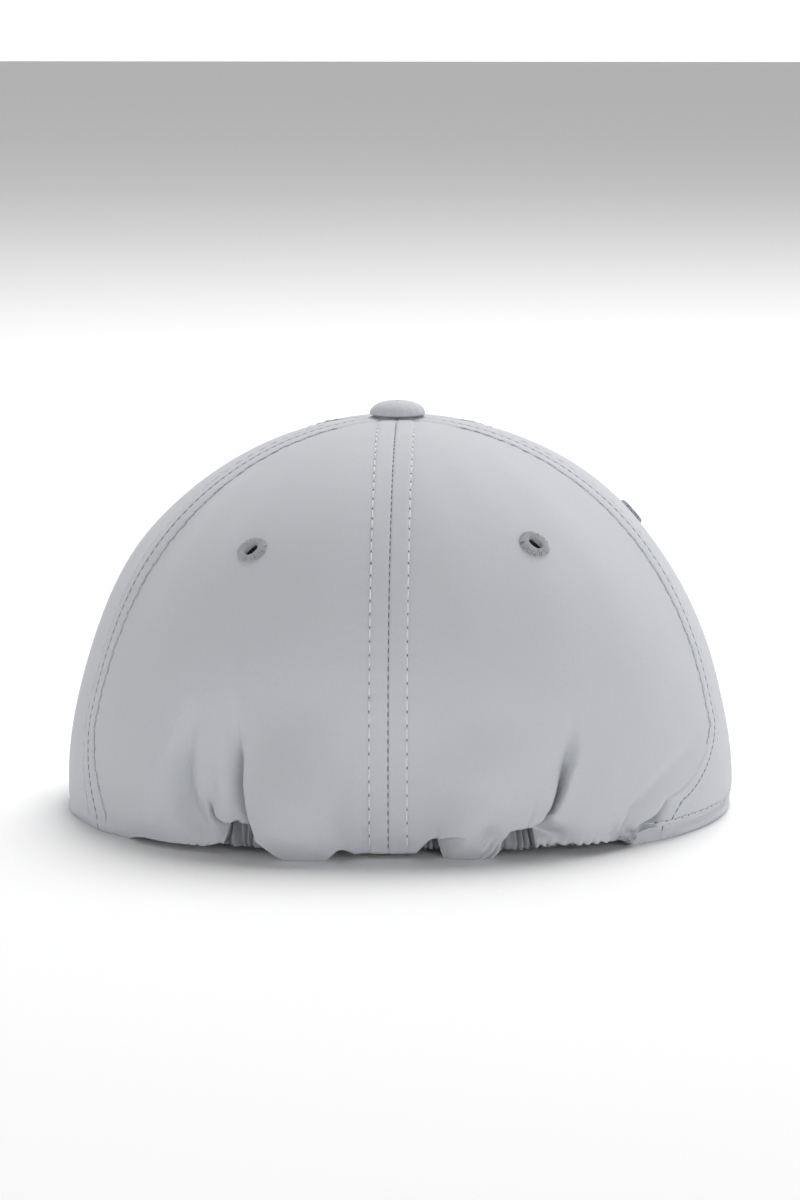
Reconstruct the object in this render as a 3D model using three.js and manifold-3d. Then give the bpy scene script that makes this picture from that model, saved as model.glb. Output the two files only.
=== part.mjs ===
// Five-panel cap with a gathered elastic back, at rest on its hem and on the side edges of its peak.
// Millimetres, +Z up. The peak points along -Y. Azimuths are in degrees round the crown's axis:
// 0 is the middle of the back (+Y), positive azimuths run towards +X, the wearer's left, and 180 is the front.
import * as THREE from "three";
import { mergeVertices } from "three/addons/utils/BufferGeometryUtils.js";
import Module from "manifold-3d";

// Driving dimensions of the crown
const CROWN_HEIGHT = 113.7;
const CLOTH = 1.4;
const FIT_GAP = 0.3;
const TOP_HOLE_RADIUS = 2.4;
const FLATTENED = 0.7;

// One row for each upright section of the crown, the same on both sides. The cloth falls from the top to the bulge,
// rounds in to its lip, which is the lowest line of the cloth, and turns up inside towards the band.
const SECTIONS = [
  { azimuth: 0, bulgeRadius: 92.5, bulgeHeight: 30, lipRadius: 82.5, bandRadius: 78.5, roundness: 2.1 },
  { azimuth: 15, bulgeRadius: 95.5, bulgeHeight: 29, lipRadius: 87.5, bandRadius: 82.5, roundness: 2.1 },
  { azimuth: 30, bulgeRadius: 97, bulgeHeight: 26, lipRadius: 92.5, bandRadius: 88, roundness: 2.1 },
  { azimuth: 45, bulgeRadius: 97, bulgeHeight: 19, lipRadius: 93.2, bandRadius: 89.8, roundness: 2.1 },
  { azimuth: 62, bulgeRadius: 96.6, bulgeHeight: 9, lipRadius: 93.8, bandRadius: 90.6, roundness: 2.11 },
  { azimuth: 90, bulgeRadius: 96.2, bulgeHeight: 5.5, lipRadius: 93.8, bandRadius: 90.6, roundness: 2.12 },
  { azimuth: 125, bulgeRadius: 97.8, bulgeHeight: 16, lipRadius: 95.3, bandRadius: 92.1, roundness: 2.08 },
  { azimuth: 155, bulgeRadius: 100.5, bulgeHeight: 31, lipRadius: 98, bandRadius: 94.8, roundness: 2.1 },
  { azimuth: 180, bulgeRadius: 101.5, bulgeHeight: 37, lipRadius: 99, bandRadius: 95.8, roundness: 2.14 },
];

// Seams between the panels. The back seams swing towards the gathers near the hem.
const SIDE_FRONT_SEAM = 136;
const LEFT_BACK_SEAM = { high: 67, atHem: 60, swingFrom: 4, swingTo: 30 };
const RIGHT_BACK_SEAM = { high: -75, atHem: -53, swingFrom: 0, swingTo: 30 };

// The gathered back: the cloth turns up inside to TUCK_TOP and meets the elastic band there.
const ELASTIC_END = 56;
const ELASTIC_BLEND = 8;
const TUCK_TOP = 14.5;
const PLAIN_TUCK = 2.4;

// Places where the lip lifts off the table and shows the band, from one azimuth to another.
const LIFTS = [
  { from: 31, to: 46, rise: 2.6, softFrom: 2, softTo: 4 },
  { from: 26, to: 33, rise: 4, softFrom: 1, softTo: 3 },
  { from: 21.6, to: 29, rise: 10.5, softFrom: 3.4, softTo: 1.8 },
  { from: 6, to: 9.5, rise: 4.4, softFrom: 2.4, softTo: 1.4 },
  { from: -6.5, to: 7, rise: 2.2, softFrom: 1, softTo: 1 },
  { from: -8.1, to: -6.3, rise: 7.2, softFrom: 0.5, softTo: 2.1 },
  { from: -25.6, to: -20, rise: 9.4, softFrom: 0.8, softTo: 2.6 },
  { from: -44, to: -25, rise: 3.4, softFrom: 2, softTo: 1 },
];

// Rounded bags and hollows of the cloth: a cosine swell centred at azimuth and height.
const SWELLS = [
  { azimuth: 15.2, height: 3, halfWidth: 9.6, halfHeight: 36, out: 9 },
  { azimuth: -13.5, height: 2, halfWidth: 6, halfHeight: 12, out: 3.4 },
  { azimuth: -17, height: 22, halfWidth: 12, halfHeight: 19, out: 2.4 },
  { azimuth: -28.2, height: 4, halfWidth: 4.6, halfHeight: 8, out: -1.6 },
  { azimuth: -37, height: 11, halfWidth: 9, halfHeight: 24, out: 2.2 },
  { azimuth: 27.3, height: 24, halfWidth: 4, halfHeight: 18, out: 1.3 },
  { azimuth: 42, height: 12, halfWidth: 11, halfHeight: 26, out: 1.8 },
  { azimuth: -105, height: 96, halfWidth: 50, halfHeight: 26, out: 1 },
  { azimuth: 105, height: 98, halfWidth: 50, halfHeight: 26, out: -0.8 },
  { azimuth: 85, height: 46, halfWidth: 42, halfHeight: 36, out: -1.2 },
  { azimuth: -85, height: 8, halfWidth: 40, halfHeight: 30, out: 1.2 },
];

// Creases that run up from the hem. The deep side is +1 towards positive azimuths, -1 the other way, 0 both.
const CREASES = [
  { lowAzimuth: 23.7, lowHeight: 10, highAzimuth: 28.2, highHeight: 46, depth: 3.8, reach: 7, deepSide: 1 },
  { lowAzimuth: 30, lowHeight: 11, highAzimuth: 31, highHeight: 24, depth: 2, reach: 3.2, deepSide: -1 },
  { lowAzimuth: 32.5, lowHeight: 9, highAzimuth: 36, highHeight: 44, depth: 1.7, reach: 5, deepSide: 0 },
  { lowAzimuth: -26, lowHeight: 10, highAzimuth: -31.6, highHeight: 43, depth: 4.4, reach: 7, deepSide: 1 },
  { lowAzimuth: -41.5, lowHeight: 5, highAzimuth: -66, highHeight: 30, depth: 2, reach: 5, deepSide: 0 },
  { lowAzimuth: -44.6, lowHeight: 3, highAzimuth: -53, highHeight: 12, depth: 1.4, reach: 2.5, deepSide: -1 },
];

// Elastic band, sweatband, button, eyelets
const BAND_CLOTH = 1.2;
const ELASTIC_TOP = 19;
const ELASTIC_BOTTOM = 0.6;
const PLEATS = 36;
const PLEAT_DEPTH = 1.1;
const SWEATBAND_HEIGHT = 30;
const SWEATBAND_LEAN = 1.5;
const SWEATBAND_DROP = 2;
const SWEATBAND_CLEAR = 0.5;
const BUTTON_RADIUS = 8;
const BUTTON_HEIGHT = 4.6;
const SHANK_RADIUS = 1.7;
const SHANK_LENGTH = 3.2;
const EYELET_RADIUS = 4.6;
const EYELET_HOLE_RADIUS = 1.3;
const EYELET_THICKNESS = 2.2;
const EYELETS = [
  { name: "left_back_eyelet", panel: "left_back_panel", azimuth: 30.8, height: 82.6 },
  { name: "right_back_eyelet", panel: "right_back_panel", azimuth: -32.8, height: 84.2 },
  { name: "left_side_eyelet", panel: "left_side_panel", azimuth: 110, height: 84 },
  { name: "right_side_eyelet", panel: "right_side_panel", azimuth: -102.5, height: 84 },
];

// Peak: an arched, stiffened board whose side edges reach down to the table
const PEAK_END = 121;
const PEAK_THICKNESS = 3;
const PEAK_HALF_WIDTH = 84;
const PEAK_TIP = 170;
const PEAK_CENTRE = 50;
const PEAK_OUTLINE_POWER = 2.7;
const PEAK_SWEEP = 90;
const PEAK_DROP = 4;
const FRONT_HEM_HEIGHT = 20;
const HEM_RISE_START = 92;

// Colours and finishes
const CLOTH_GREY = { color: 0xb6b9c0, roughness: 0.8, metalness: 0 };
const THREAD_GREY = { color: 0xc2c3c9, roughness: 0.7, metalness: 0 };

const radians = THREE.MathUtils.degToRad;
const mix = THREE.MathUtils.lerp;

// 0 below low, 1 above high, smooth between.
function ramp(value, low, high) {
  return THREE.MathUtils.smoothstep(value, low, high);
}

// A column of SECTIONS at any azimuth, on a smooth curve through the rows that is level at 0 and 180.
function section(azimuth, column) {
  const a = Math.abs(azimuth);
  const next = Math.max(1, SECTIONS.findIndex((row) => row.azimuth >= a));
  const slope = (i) => {
    if (i === 0 || i === SECTIONS.length - 1) return 0;
    const [before, after] = [SECTIONS[i - 1], SECTIONS[i + 1]];
    return (after[column] - before[column]) / (after.azimuth - before.azimuth);
  };
  const [low, high] = [SECTIONS[next - 1], SECTIONS[next]];
  const span = high.azimuth - low.azimuth;
  const t = (a - low.azimuth) / span;
  const bend = (1 - t) * (1 - t) * t * span * slope(next - 1) - t * t * (1 - t) * span * slope(next);
  return mix(low[column], high[column], t * t * (3 - 2 * t)) + bend;
}

// Top face of the peak over a point of the plan.
function peakTop(x, y) {
  const frontTop = FRONT_HEM_HEIGHT - FIT_GAP;
  const arch = (frontTop - PEAK_THICKNESS) * (x / PEAK_HALF_WIDTH) ** 2;
  const hemFront = section(180, "lipRadius");
  const forward = THREE.MathUtils.clamp((-y - hemFront) / (PEAK_TIP - hemFront), 0, 1);
  return frontTop - arch - PEAK_DROP * forward * (2 - forward);
}

// Height of the hem before the gathers lift it: on the table at the back and sides, on the peak in front.
function hemHeight(azimuth) {
  const a = Math.abs(azimuth);
  const onPeak = Math.max(a, PEAK_END);
  const lip = section(onPeak, "lipRadius");
  const top = peakTop(lip * Math.sin(radians(onPeak)), lip * Math.cos(radians(onPeak))) + FIT_GAP;
  return top * ramp(a, HEM_RISE_START, PEAK_END);
}

function lipHeight(azimuth) {
  const lifts = LIFTS.map(
    (lift) =>
      lift.rise *
      ramp(azimuth, lift.from - lift.softFrom, lift.from + lift.softFrom) *
      (1 - ramp(azimuth, lift.to - lift.softTo, lift.to + lift.softTo)),
  );
  return hemHeight(azimuth) + Math.max(0, ...lifts);
}

function elasticShare(azimuth) {
  return 1 - ramp(Math.abs(azimuth), ELASTIC_END - ELASTIC_BLEND, ELASTIC_END);
}

// How far a crease pulls the cloth in at a point; its lapping edge stands a little proud.
function creaseDepth(crease, azimuth, height) {
  const along = (height - crease.lowHeight) / (crease.highHeight - crease.lowHeight);
  if (along >= 1) return 0;
  const t = THREE.MathUtils.clamp(along, 0, 1);
  const path = mix(crease.lowAzimuth, crease.highAzimuth, t);
  const across = radians(azimuth - path) * section(azimuth, "bulgeRadius");
  const side = crease.deepSide === 0 ? Math.abs(across) : across * crease.deepSide;
  const hollow = -Math.exp(-((side / crease.reach) ** 2));
  const edge = 0.35 * Math.exp(-((side / (0.6 * crease.reach)) ** 2));
  const share = crease.deepSide === 0 ? 1 : ramp(side, -1.2, 1.2);
  return crease.depth * (1 - t) * mix(edge, hollow, share) * ramp(height, -2, crease.lowHeight);
}

function swell({ azimuth, height, halfWidth, halfHeight, out }, atAzimuth, atHeight) {
  const across = Math.abs(atAzimuth - azimuth) / halfWidth;
  const up = Math.abs(atHeight - height) / halfHeight;
  if (across >= 1 || up >= 1) return 0;
  return out * Math.cos((across * Math.PI) / 2) ** 2 * Math.cos((up * Math.PI) / 2) ** 2;
}

// How far bags and creases move the cloth outwards at a point.
function folds(azimuth, height) {
  const swells = SWELLS.map((row) => swell(row, azimuth, height));
  const creases = CREASES.map((row) => creaseDepth(row, azimuth, height));
  return [...swells, ...creases].reduce((sum, each) => sum + each, 0);
}

// Radius and height of the crown on one upright section. Each stretch is a quarter of a superellipse that the inner
// face follows at the cloth's thickness: upper from the top hole to the bulge, lower on to the lip, tuck up inside.
function meridian(azimuth, stretch, t, inset) {
  const bulge = section(azimuth, "bulgeRadius");
  const bulgeHeight = section(azimuth, "bulgeHeight");
  const lip = section(azimuth, "lipRadius");
  const lipAt = lipHeight(azimuth);
  const inner = section(azimuth, "bandRadius") + 2 * FIT_GAP;
  const tuckTop = mix(lipAt + PLAIN_TUCK, TUCK_TOP, elasticShare(azimuth));
  if (stretch === "upper") {
    const power = 2 / section(azimuth, "roundness");
    const start = Math.asin((TOP_HOLE_RADIUS / bulge) ** (1 / power));
    const angle = mix(start, Math.PI / 2, t);
    const height = bulgeHeight + (CROWN_HEIGHT - bulgeHeight - inset) * Math.cos(angle) ** power;
    return { radius: (bulge - inset) * Math.sin(angle) ** power + folds(azimuth, height), height };
  }
  if (stretch === "lower") {
    const power = 2 / 2.5;
    const angle = (t * Math.PI) / 2;
    const height = bulgeHeight - (bulgeHeight - lipAt - inset) * Math.sin(angle) ** power;
    const outerHeight = bulgeHeight - (bulgeHeight - lipAt) * Math.sin(angle) ** power;
    return { radius: lip + (bulge - lip - inset) * Math.cos(angle) ** power + folds(azimuth, outerHeight), height };
  }
  const angle = (t * Math.PI) / 2;
  const height = tuckTop - (tuckTop - lipAt - inset) * Math.cos(angle);
  const lipFold = folds(azimuth, lipAt) * (1 - t) ** 2;
  return { radius: lip - (lip - inner - inset) * Math.sin(angle) + lipFold, height };
}

// The cloth is flattened where it rests on the table, and stays as thick there as elsewhere.
function settled(height, inset = 0) {
  return Math.max(height - FLATTENED, inset);
}

function around(azimuth, radius, height) {
  return new THREE.Vector3(radius * Math.sin(radians(azimuth)), radius * Math.cos(radians(azimuth)), height);
}

function crownPoint(azimuth, stretch, t, inset) {
  const { radius, height } = meridian(azimuth, stretch, t, inset);
  return around(azimuth, radius, settled(height, inset));
}

// A closed solid between two sets of rows of points, outer and inner, joined round their four edges.
// A row has as many points as the one above it, or twice as many less one.
function shellGeometry(outer, inner) {
  const rows = outer.length;
  const starts = outer.map((_, i) => outer.slice(0, i).reduce((sum, row) => sum + row.length, 0));
  const size = outer.flat().length;
  const index = [];
  const at = (face, i, j) => face * size + starts[i] + j;
  const triangle = (face, a, b, c) => index.push(...(face === 0 ? [a, c, b] : [a, b, c]));
  const quad = (a, b, c, d) => index.push(a, c, b, a, d, c);
  for (let i = 0; i + 1 < rows; i++) {
    const cells = outer[i].length - 1;
    const last = outer[i + 1].length - 1;
    const step = last / cells;
    for (const face of [0, 1]) {
      for (let j = 0; j < cells; j++) {
        const [a, b] = [at(face, i, j), at(face, i, j + 1)];
        const below = [0, 1, 2].map((k) => at(face, i + 1, step * j + k));
        triangle(face, a, below[0], below[1]);
        triangle(face, a, below[1], b);
        if (step === 2) triangle(face, b, below[1], below[2]);
      }
    }
    quad(at(0, i + 1, 0), at(0, i, 0), at(1, i, 0), at(1, i + 1, 0));
    quad(at(0, i + 1, last), at(1, i + 1, last), at(1, i, cells), at(0, i, cells));
  }
  for (let j = 0; j + 1 < outer[0].length; j++) {
    quad(at(0, 0, j), at(0, 0, j + 1), at(1, 0, j + 1), at(1, 0, j));
  }
  for (let j = 0; j + 1 < outer[rows - 1].length; j++) {
    quad(at(0, rows - 1, j + 1), at(0, rows - 1, j), at(1, rows - 1, j), at(1, rows - 1, j + 1));
  }
  const geometry = new THREE.BufferGeometry().setFromPoints([...outer.flat(), ...inner.flat()]);
  geometry.setIndex(index);
  return geometry;
}

function grid(rows, columns, pointAt) {
  return Array.from({ length: rows + 1 }, (_, i) =>
    Array.from({ length: columns + 1 }, (_, j) => pointAt(i / rows, j / columns, i, j)),
  );
}

// Azimuth of a seam at a stretch of the crown: below its swing it leans towards the gathers.
function seamAzimuth(seam, stretch, t) {
  if (stretch === "tuck") return seam.atHem;
  const height = meridian(seam.high, stretch, t, 0).height;
  return mix(seam.atHem, seam.high, ramp(height, seam.swingFrom, seam.swingTo));
}

// The rows of a gore from the top hole to the band, closer together towards the bulge. Its columns double twice.
function stations(columns) {
  const upper = Array.from({ length: ROWS.upper }, (_, i) => ({
    stretch: "upper",
    t: (i / ROWS.upper) ** ROW_CROWDING,
    columns: columns[Math.min(Math.floor((3 * i) / ROWS.upper), 2)],
  }));
  const lower = Array.from({ length: ROWS.lower }, (_, i) => ({
    stretch: "lower",
    t: i / ROWS.lower,
    columns: columns[2],
  }));
  const tuck = Array.from({ length: ROWS.tuck + 1 }, (_, i) => ({
    stretch: "tuck",
    t: i / ROWS.tuck,
    columns: columns[2],
  }));
  return [...upper, ...lower, ...tuck];
}

// One gore of the crown between two seams.
function panelGeometry({ startSeam, endSeam, columns, spread }) {
  const face = (inset) =>
    stations(columns).map((row) => {
      const { stretch, t } = row;
      const radius = meridian(startSeam(stretch, t), stretch, t, 0).radius;
      const clearance = THREE.MathUtils.radToDeg(FIT_GAP / 2 / radius);
      const start = startSeam(stretch, t) + clearance;
      const end = endSeam(stretch, t) - clearance;
      return Array.from({ length: row.columns + 1 }, (_, j) =>
        crownPoint(foldBack(spread(start, end, j / row.columns)), stretch, t, inset),
      );
    });
  return shellGeometry(face(0), face(CLOTH));
}

// Azimuths past 180 are the same places on the negative side.
function foldBack(azimuth) {
  return azimuth > 180 ? azimuth - 360 : azimuth;
}

// A point and outward direction on the crown at a given azimuth and height, on its upper stretch.
function crownSeat({ azimuth, height }) {
  let [low, high] = [0, 1];
  for (let i = 0; i < 30; i++) {
    const middle = (low + high) / 2;
    if (meridian(azimuth, "upper", middle, 0).height > height) low = middle;
    else high = middle;
  }
  const point = crownPoint(azimuth, "upper", low, 0);
  const down = crownPoint(azimuth, "upper", low + 0.01, 0).sub(point);
  const side = crownPoint(azimuth + 0.5, "upper", low, 0).sub(point);
  return { point, outward: side.cross(down).normalize() };
}

function placeAlong(geometry, { point, outward }) {
  const turn = new THREE.Quaternion().setFromUnitVectors(new THREE.Vector3(0, 1, 0), outward);
  return geometry.applyQuaternion(turn).translate(point.x, point.y, point.z);
}

// Embroidered vent ring, turned about its own axis and centred on the cloth.
function eyeletGeometry(seat) {
  const half = EYELET_THICKNESS / 2;
  const profile = [
    new THREE.Vector2(EYELET_HOLE_RADIUS, -half * 0.7),
    new THREE.Vector2(EYELET_RADIUS * 0.6, -half),
    new THREE.Vector2(EYELET_RADIUS - FIT_GAP, -half * 0.5),
    new THREE.Vector2(EYELET_RADIUS - FIT_GAP, half * 0.5),
    new THREE.Vector2(EYELET_RADIUS * 0.6, half),
    new THREE.Vector2(EYELET_HOLE_RADIUS, half * 0.7),
    new THREE.Vector2(EYELET_HOLE_RADIUS, -half * 0.7),
  ];
  const ring = new THREE.LatheGeometry(profile, 14).translate(0, -CLOTH / 2, 0);
  return placeAlong(ring, seat);
}

// Covered button with the shank that holds it in the top hole.
function buttonGeometry() {
  const base = FIT_GAP;
  const profile = [
    new THREE.Vector2(0, base - SHANK_LENGTH),
    new THREE.Vector2(SHANK_RADIUS, base - SHANK_LENGTH),
    new THREE.Vector2(SHANK_RADIUS, base),
    new THREE.Vector2(0.88 * BUTTON_RADIUS, base),
    new THREE.Vector2(BUTTON_RADIUS, base + 0.25 * BUTTON_HEIGHT),
    new THREE.Vector2(0.97 * BUTTON_RADIUS, base + 0.55 * BUTTON_HEIGHT),
    new THREE.Vector2(0.76 * BUTTON_RADIUS, base + 0.85 * BUTTON_HEIGHT),
    new THREE.Vector2(0.4 * BUTTON_RADIUS, base + 0.97 * BUTTON_HEIGHT),
    new THREE.Vector2(0, base + BUTTON_HEIGHT),
  ];
  const turned = new THREE.LatheGeometry(profile, 24).rotateX(Math.PI / 2);
  return turned.translate(0, 0, CROWN_HEIGHT - FLATTENED);
}

// Strip of cloth that stands on its lower edge between two azimuths.
function bandGeometry({ from, to, columns, rows, bottom, top, lean, pleat }) {
  const face = (inset) =>
    grid(rows, columns, (down, along, i, j) => {
      const azimuth = foldBack(mix(from, to, along));
      const radius = section(azimuth, "bandRadius") - lean * (1 - down) - pleat * (j % 2) - inset;
      return around(azimuth, radius, mix(top(azimuth), bottom(azimuth), down));
    });
  return shellGeometry(face(0), face(BAND_CLOTH));
}

function elasticGeometry() {
  return bandGeometry({
    from: -ELASTIC_END,
    to: ELASTIC_END,
    columns: 2 * PLEATS,
    rows: 1,
    bottom: () => ELASTIC_BOTTOM,
    top: () => ELASTIC_TOP,
    lean: 0,
    pleat: PLEAT_DEPTH,
  });
}

function sweatbandGeometry() {
  const clearance = THREE.MathUtils.radToDeg(FIT_GAP / section(ELASTIC_END, "bandRadius"));
  return bandGeometry({
    from: ELASTIC_END + clearance,
    to: 360 - ELASTIC_END - clearance,
    columns: 32,
    rows: 2,
    bottom: (azimuth) => Math.max(settled(hemHeight(azimuth)) - SWEATBAND_DROP, SWEATBAND_CLEAR),
    top: (azimuth) => settled(hemHeight(azimuth)) + SWEATBAND_HEIGHT,
    lean: SWEATBAND_LEAN,
    pleat: 0,
  });
}

// Outer edge of the peak, at an angle from straight ahead seen from a centre in front of the crown's axis.
function peakEdge(angle) {
  const across = Math.abs(Math.sin(angle)) / PEAK_HALF_WIDTH;
  const ahead = Math.abs(Math.cos(angle)) / (PEAK_TIP - PEAK_CENTRE);
  const reach = (across ** PEAK_OUTLINE_POWER + ahead ** PEAK_OUTLINE_POWER) ** (-1 / PEAK_OUTLINE_POWER);
  return new THREE.Vector2(reach * Math.sin(angle), -PEAK_CENTRE - reach * Math.cos(angle));
}

function peakGeometry() {
  const face = (inset) =>
    grid(6, 24, (outwards, along) => {
      const azimuth = foldBack(mix(PEAK_END, 360 - PEAK_END, along));
      const root = section(azimuth, "bandRadius") + FIT_GAP;
      const start = around(azimuth, root, 0);
      const edge = peakEdge(radians(mix(PEAK_SWEEP, -PEAK_SWEEP, along)));
      const x = mix(start.x, edge.x, outwards);
      const y = mix(start.y, edge.y, outwards);
      return new THREE.Vector3(x, y, Math.max(peakTop(x, y) - FLATTENED - inset, 0));
    });
  return shellGeometry(face(0), face(PEAK_THICKNESS));
}

const wasm = await Module();
wasm.setup();

function toSolid(geometry) {
  const bare = geometry.clone();
  bare.deleteAttribute("normal");
  bare.deleteAttribute("uv");
  const merged = mergeVertices(bare, 1e-4);
  const vertProperties = new Float32Array(merged.attributes.position.array);
  const triVerts = new Uint32Array(merged.index.array);
  return new wasm.Manifold(new wasm.Mesh({ numProp: 3, vertProperties, triVerts }));
}

function fromSolid(solid) {
  const mesh = solid.getMesh();
  const geometry = new THREE.BufferGeometry();
  geometry.setAttribute("position", new THREE.BufferAttribute(new Float32Array(mesh.vertProperties), 3));
  geometry.setIndex(new THREE.BufferAttribute(new Uint32Array(mesh.triVerts), 1));
  return geometry;
}

// Cuts the round place of a vent ring out of a panel.
function withEyeletHole(geometry, seat) {
  const punch = placeAlong(new THREE.CylinderGeometry(EYELET_RADIUS, EYELET_RADIUS, 8 * CLOTH, 14), seat);
  return fromSolid(toSolid(geometry).subtract(toSolid(punch)));
}

function mesh(name, geometry, finish) {
  const made = new THREE.Mesh(geometry, new THREE.MeshStandardMaterial({ ...finish, flatShading: true }));
  made.name = name;
  return made;
}

// The back gores keep most of their columns for the folded part, within FOLDED_END of the middle.
const FOLDED_END = 50;
const FOLDED_SHARE = 0.8;

function foldedFirst(start, end, along) {
  if (along < FOLDED_SHARE) return mix(start, FOLDED_END, along / FOLDED_SHARE);
  return mix(FOLDED_END, end, (along - FOLDED_SHARE) / (1 - FOLDED_SHARE));
}

function foldedLast(start, end, along) {
  return -foldedFirst(-end, -start, 1 - along);
}

// Every gore has the same rows, so neighbours meet along the same line.
const ROWS = { upper: 12, lower: 7, tuck: 2 };
const ROW_CROWDING = 0.87;
const PANELS = [
  {
    name: "left_back_panel",
    startSeam: () => 0,
    endSeam: (stretch, t) => seamAzimuth(LEFT_BACK_SEAM, stretch, t),
    columns: [10, 20, 40],
    spread: foldedFirst,
  },
  {
    name: "right_back_panel",
    startSeam: (stretch, t) => seamAzimuth(RIGHT_BACK_SEAM, stretch, t),
    endSeam: () => 0,
    columns: [10, 20, 40],
    spread: foldedLast,
  },
  {
    name: "left_side_panel",
    startSeam: (stretch, t) => seamAzimuth(LEFT_BACK_SEAM, stretch, t),
    endSeam: () => SIDE_FRONT_SEAM,
    columns: [6, 6, 12],
    spread: mix,
  },
  {
    name: "right_side_panel",
    startSeam: () => -SIDE_FRONT_SEAM,
    endSeam: (stretch, t) => seamAzimuth(RIGHT_BACK_SEAM, stretch, t),
    columns: [6, 6, 12],
    spread: mix,
  },
  {
    name: "front_panel",
    startSeam: () => SIDE_FRONT_SEAM,
    endSeam: () => 360 - SIDE_FRONT_SEAM,
    columns: [8, 8, 16],
    spread: mix,
  },
];

function buildCap() {
  const cap = new THREE.Group();
  for (const panel of PANELS) {
    const eyelet = EYELETS.find((row) => row.panel === panel.name);
    const plain = panelGeometry(panel);
    const cut = eyelet ? withEyeletHole(plain, crownSeat(eyelet)) : plain;
    cap.add(mesh(panel.name, cut, CLOTH_GREY));
  }
  for (const eyelet of EYELETS) {
    cap.add(mesh(eyelet.name, eyeletGeometry(crownSeat(eyelet)), THREAD_GREY));
  }
  cap.add(mesh("top_button", buttonGeometry(), CLOTH_GREY));
  cap.add(mesh("elastic_band", elasticGeometry(), CLOTH_GREY));
  cap.add(mesh("sweatband", sweatbandGeometry(), CLOTH_GREY));
  cap.add(mesh("peak", peakGeometry(), CLOTH_GREY));
  return cap;
}

// The frame's origin is the middle of the whole cap's plan, on the table.
function centred(cap) {
  const box = new THREE.Box3().setFromObject(cap);
  const middle = box.getCenter(new THREE.Vector3());
  cap.position.set(-middle.x, -middle.y, -box.min.z);
  const framed = new THREE.Group();
  framed.add(cap);
  return framed;
}

export default centred(buildCap());
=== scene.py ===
"""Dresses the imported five-panel cap in sewn nylon: panels, gathers, stitches, vent rings, button, peak."""

import math

import bpy
import numpy as np
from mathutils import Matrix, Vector


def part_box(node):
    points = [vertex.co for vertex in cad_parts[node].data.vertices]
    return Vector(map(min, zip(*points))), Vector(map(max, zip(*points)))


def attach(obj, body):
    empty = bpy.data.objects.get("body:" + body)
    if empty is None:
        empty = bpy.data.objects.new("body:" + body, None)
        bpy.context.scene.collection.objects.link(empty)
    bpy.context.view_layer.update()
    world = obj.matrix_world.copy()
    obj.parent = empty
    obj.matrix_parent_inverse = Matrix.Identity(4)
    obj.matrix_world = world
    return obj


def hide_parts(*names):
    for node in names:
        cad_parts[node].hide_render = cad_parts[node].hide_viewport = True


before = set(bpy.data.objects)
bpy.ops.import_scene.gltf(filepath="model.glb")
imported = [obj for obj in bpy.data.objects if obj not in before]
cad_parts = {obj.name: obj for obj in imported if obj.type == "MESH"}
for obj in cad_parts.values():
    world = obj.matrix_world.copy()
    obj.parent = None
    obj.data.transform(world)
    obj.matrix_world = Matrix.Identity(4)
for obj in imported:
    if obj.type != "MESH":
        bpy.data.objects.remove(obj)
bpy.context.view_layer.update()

# Lengths are in millimetres until a mesh is made.
# The crown's own axes are those of the frame, moved to its button.
MM = 0.001
button_low, button_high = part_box("top_button")
CROWN_AXIS = (button_low + button_high) / 2
CROWN_AXIS.z = 0

# Camera behind the cap, as the photograph was taken
VIEW_TURN = 1.6
VIEW_RISE = 8
VIEW_DISTANCE = 1500
VIEW_HEIGHT = 59.6
VIEW_ASIDE = 0.73
LENS = 154.8

# Crown, as in the CAD source
CROWN_HEIGHT = 113.7
TOP_HOLE_RADIUS = 2.4
FIT_GAP = 0.3
FLATTENED = 0.7
SECTION_AZIMUTH = np.array([0, 15, 30, 45, 62, 90, 125, 155, 180], float)
SECTIONS = {
    "bulge_radius": [92.5, 95.5, 97, 97, 96.6, 96.2, 97.8, 100.5, 101.5],
    "bulge_height": [30, 29, 26, 19, 9, 5.5, 16, 31, 37],
    "lip_radius": [82.5, 87.5, 92.5, 93.2, 93.8, 93.8, 95.3, 98, 99],
    "band_radius": [78.5, 82.5, 88, 89.8, 90.6, 90.6, 92.1, 94.8, 95.8],
    "roundness": [2.1, 2.1, 2.1, 2.1, 2.11, 2.12, 2.08, 2.1, 2.14],
}
LOWER_ROUNDNESS = 2.5
TUCK_TOP = 14.5
PLAIN_TUCK = 2.4
ELASTIC_END = 56
ELASTIC_BLEND = 8

# Seams between the panels
SIDE_FRONT_SEAM = 136
LEFT_BACK_SEAM = {"high": 67, "at_hem": 60, "swing_from": 4, "swing_to": 30}
RIGHT_BACK_SEAM = {"high": -75.3, "at_hem": -51.5, "swing_from": 0, "swing_to": 29}
SWING_POWER = 1.2
ROWS_END = 1.98
RIGHT_BACK_ROWS_END = 0.92
ROWS_START = 0.105
DITCH_START = 0.06
FRONT_END = 360 - SIDE_FRONT_SEAM
PANELS = {
    "left_back_panel": {"start": 0, "end": LEFT_BACK_SEAM, "fine": True},
    "left_side_panel": {"start": LEFT_BACK_SEAM, "end": SIDE_FRONT_SEAM, "fine": False},
    "front_panel": {"start": SIDE_FRONT_SEAM, "end": FRONT_END, "fine": False},
    "right_side_panel": {"start": -SIDE_FRONT_SEAM, "end": RIGHT_BACK_SEAM, "fine": False},
    "right_back_panel": {"start": RIGHT_BACK_SEAM, "end": 0, "fine": True},
}

# Degrees of azimuth between a panel's columns of points: plain, in the two back panels, in their gathers
# and creases, and near a seam
PLAIN_SPACING = 1.3
BACK_SPACING = 0.75
GATHERED_SPACING = 0.27
GATHERS_END = 52
CREASED_SPACING = 0.17
CREASES_START = 16
CREASES_END = 33
SEAM_BAND = 4.4
SEAM_SPACING = 0.3
SEAM_EDGE = 0.9
EDGE_SPACING = 0.13

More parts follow.
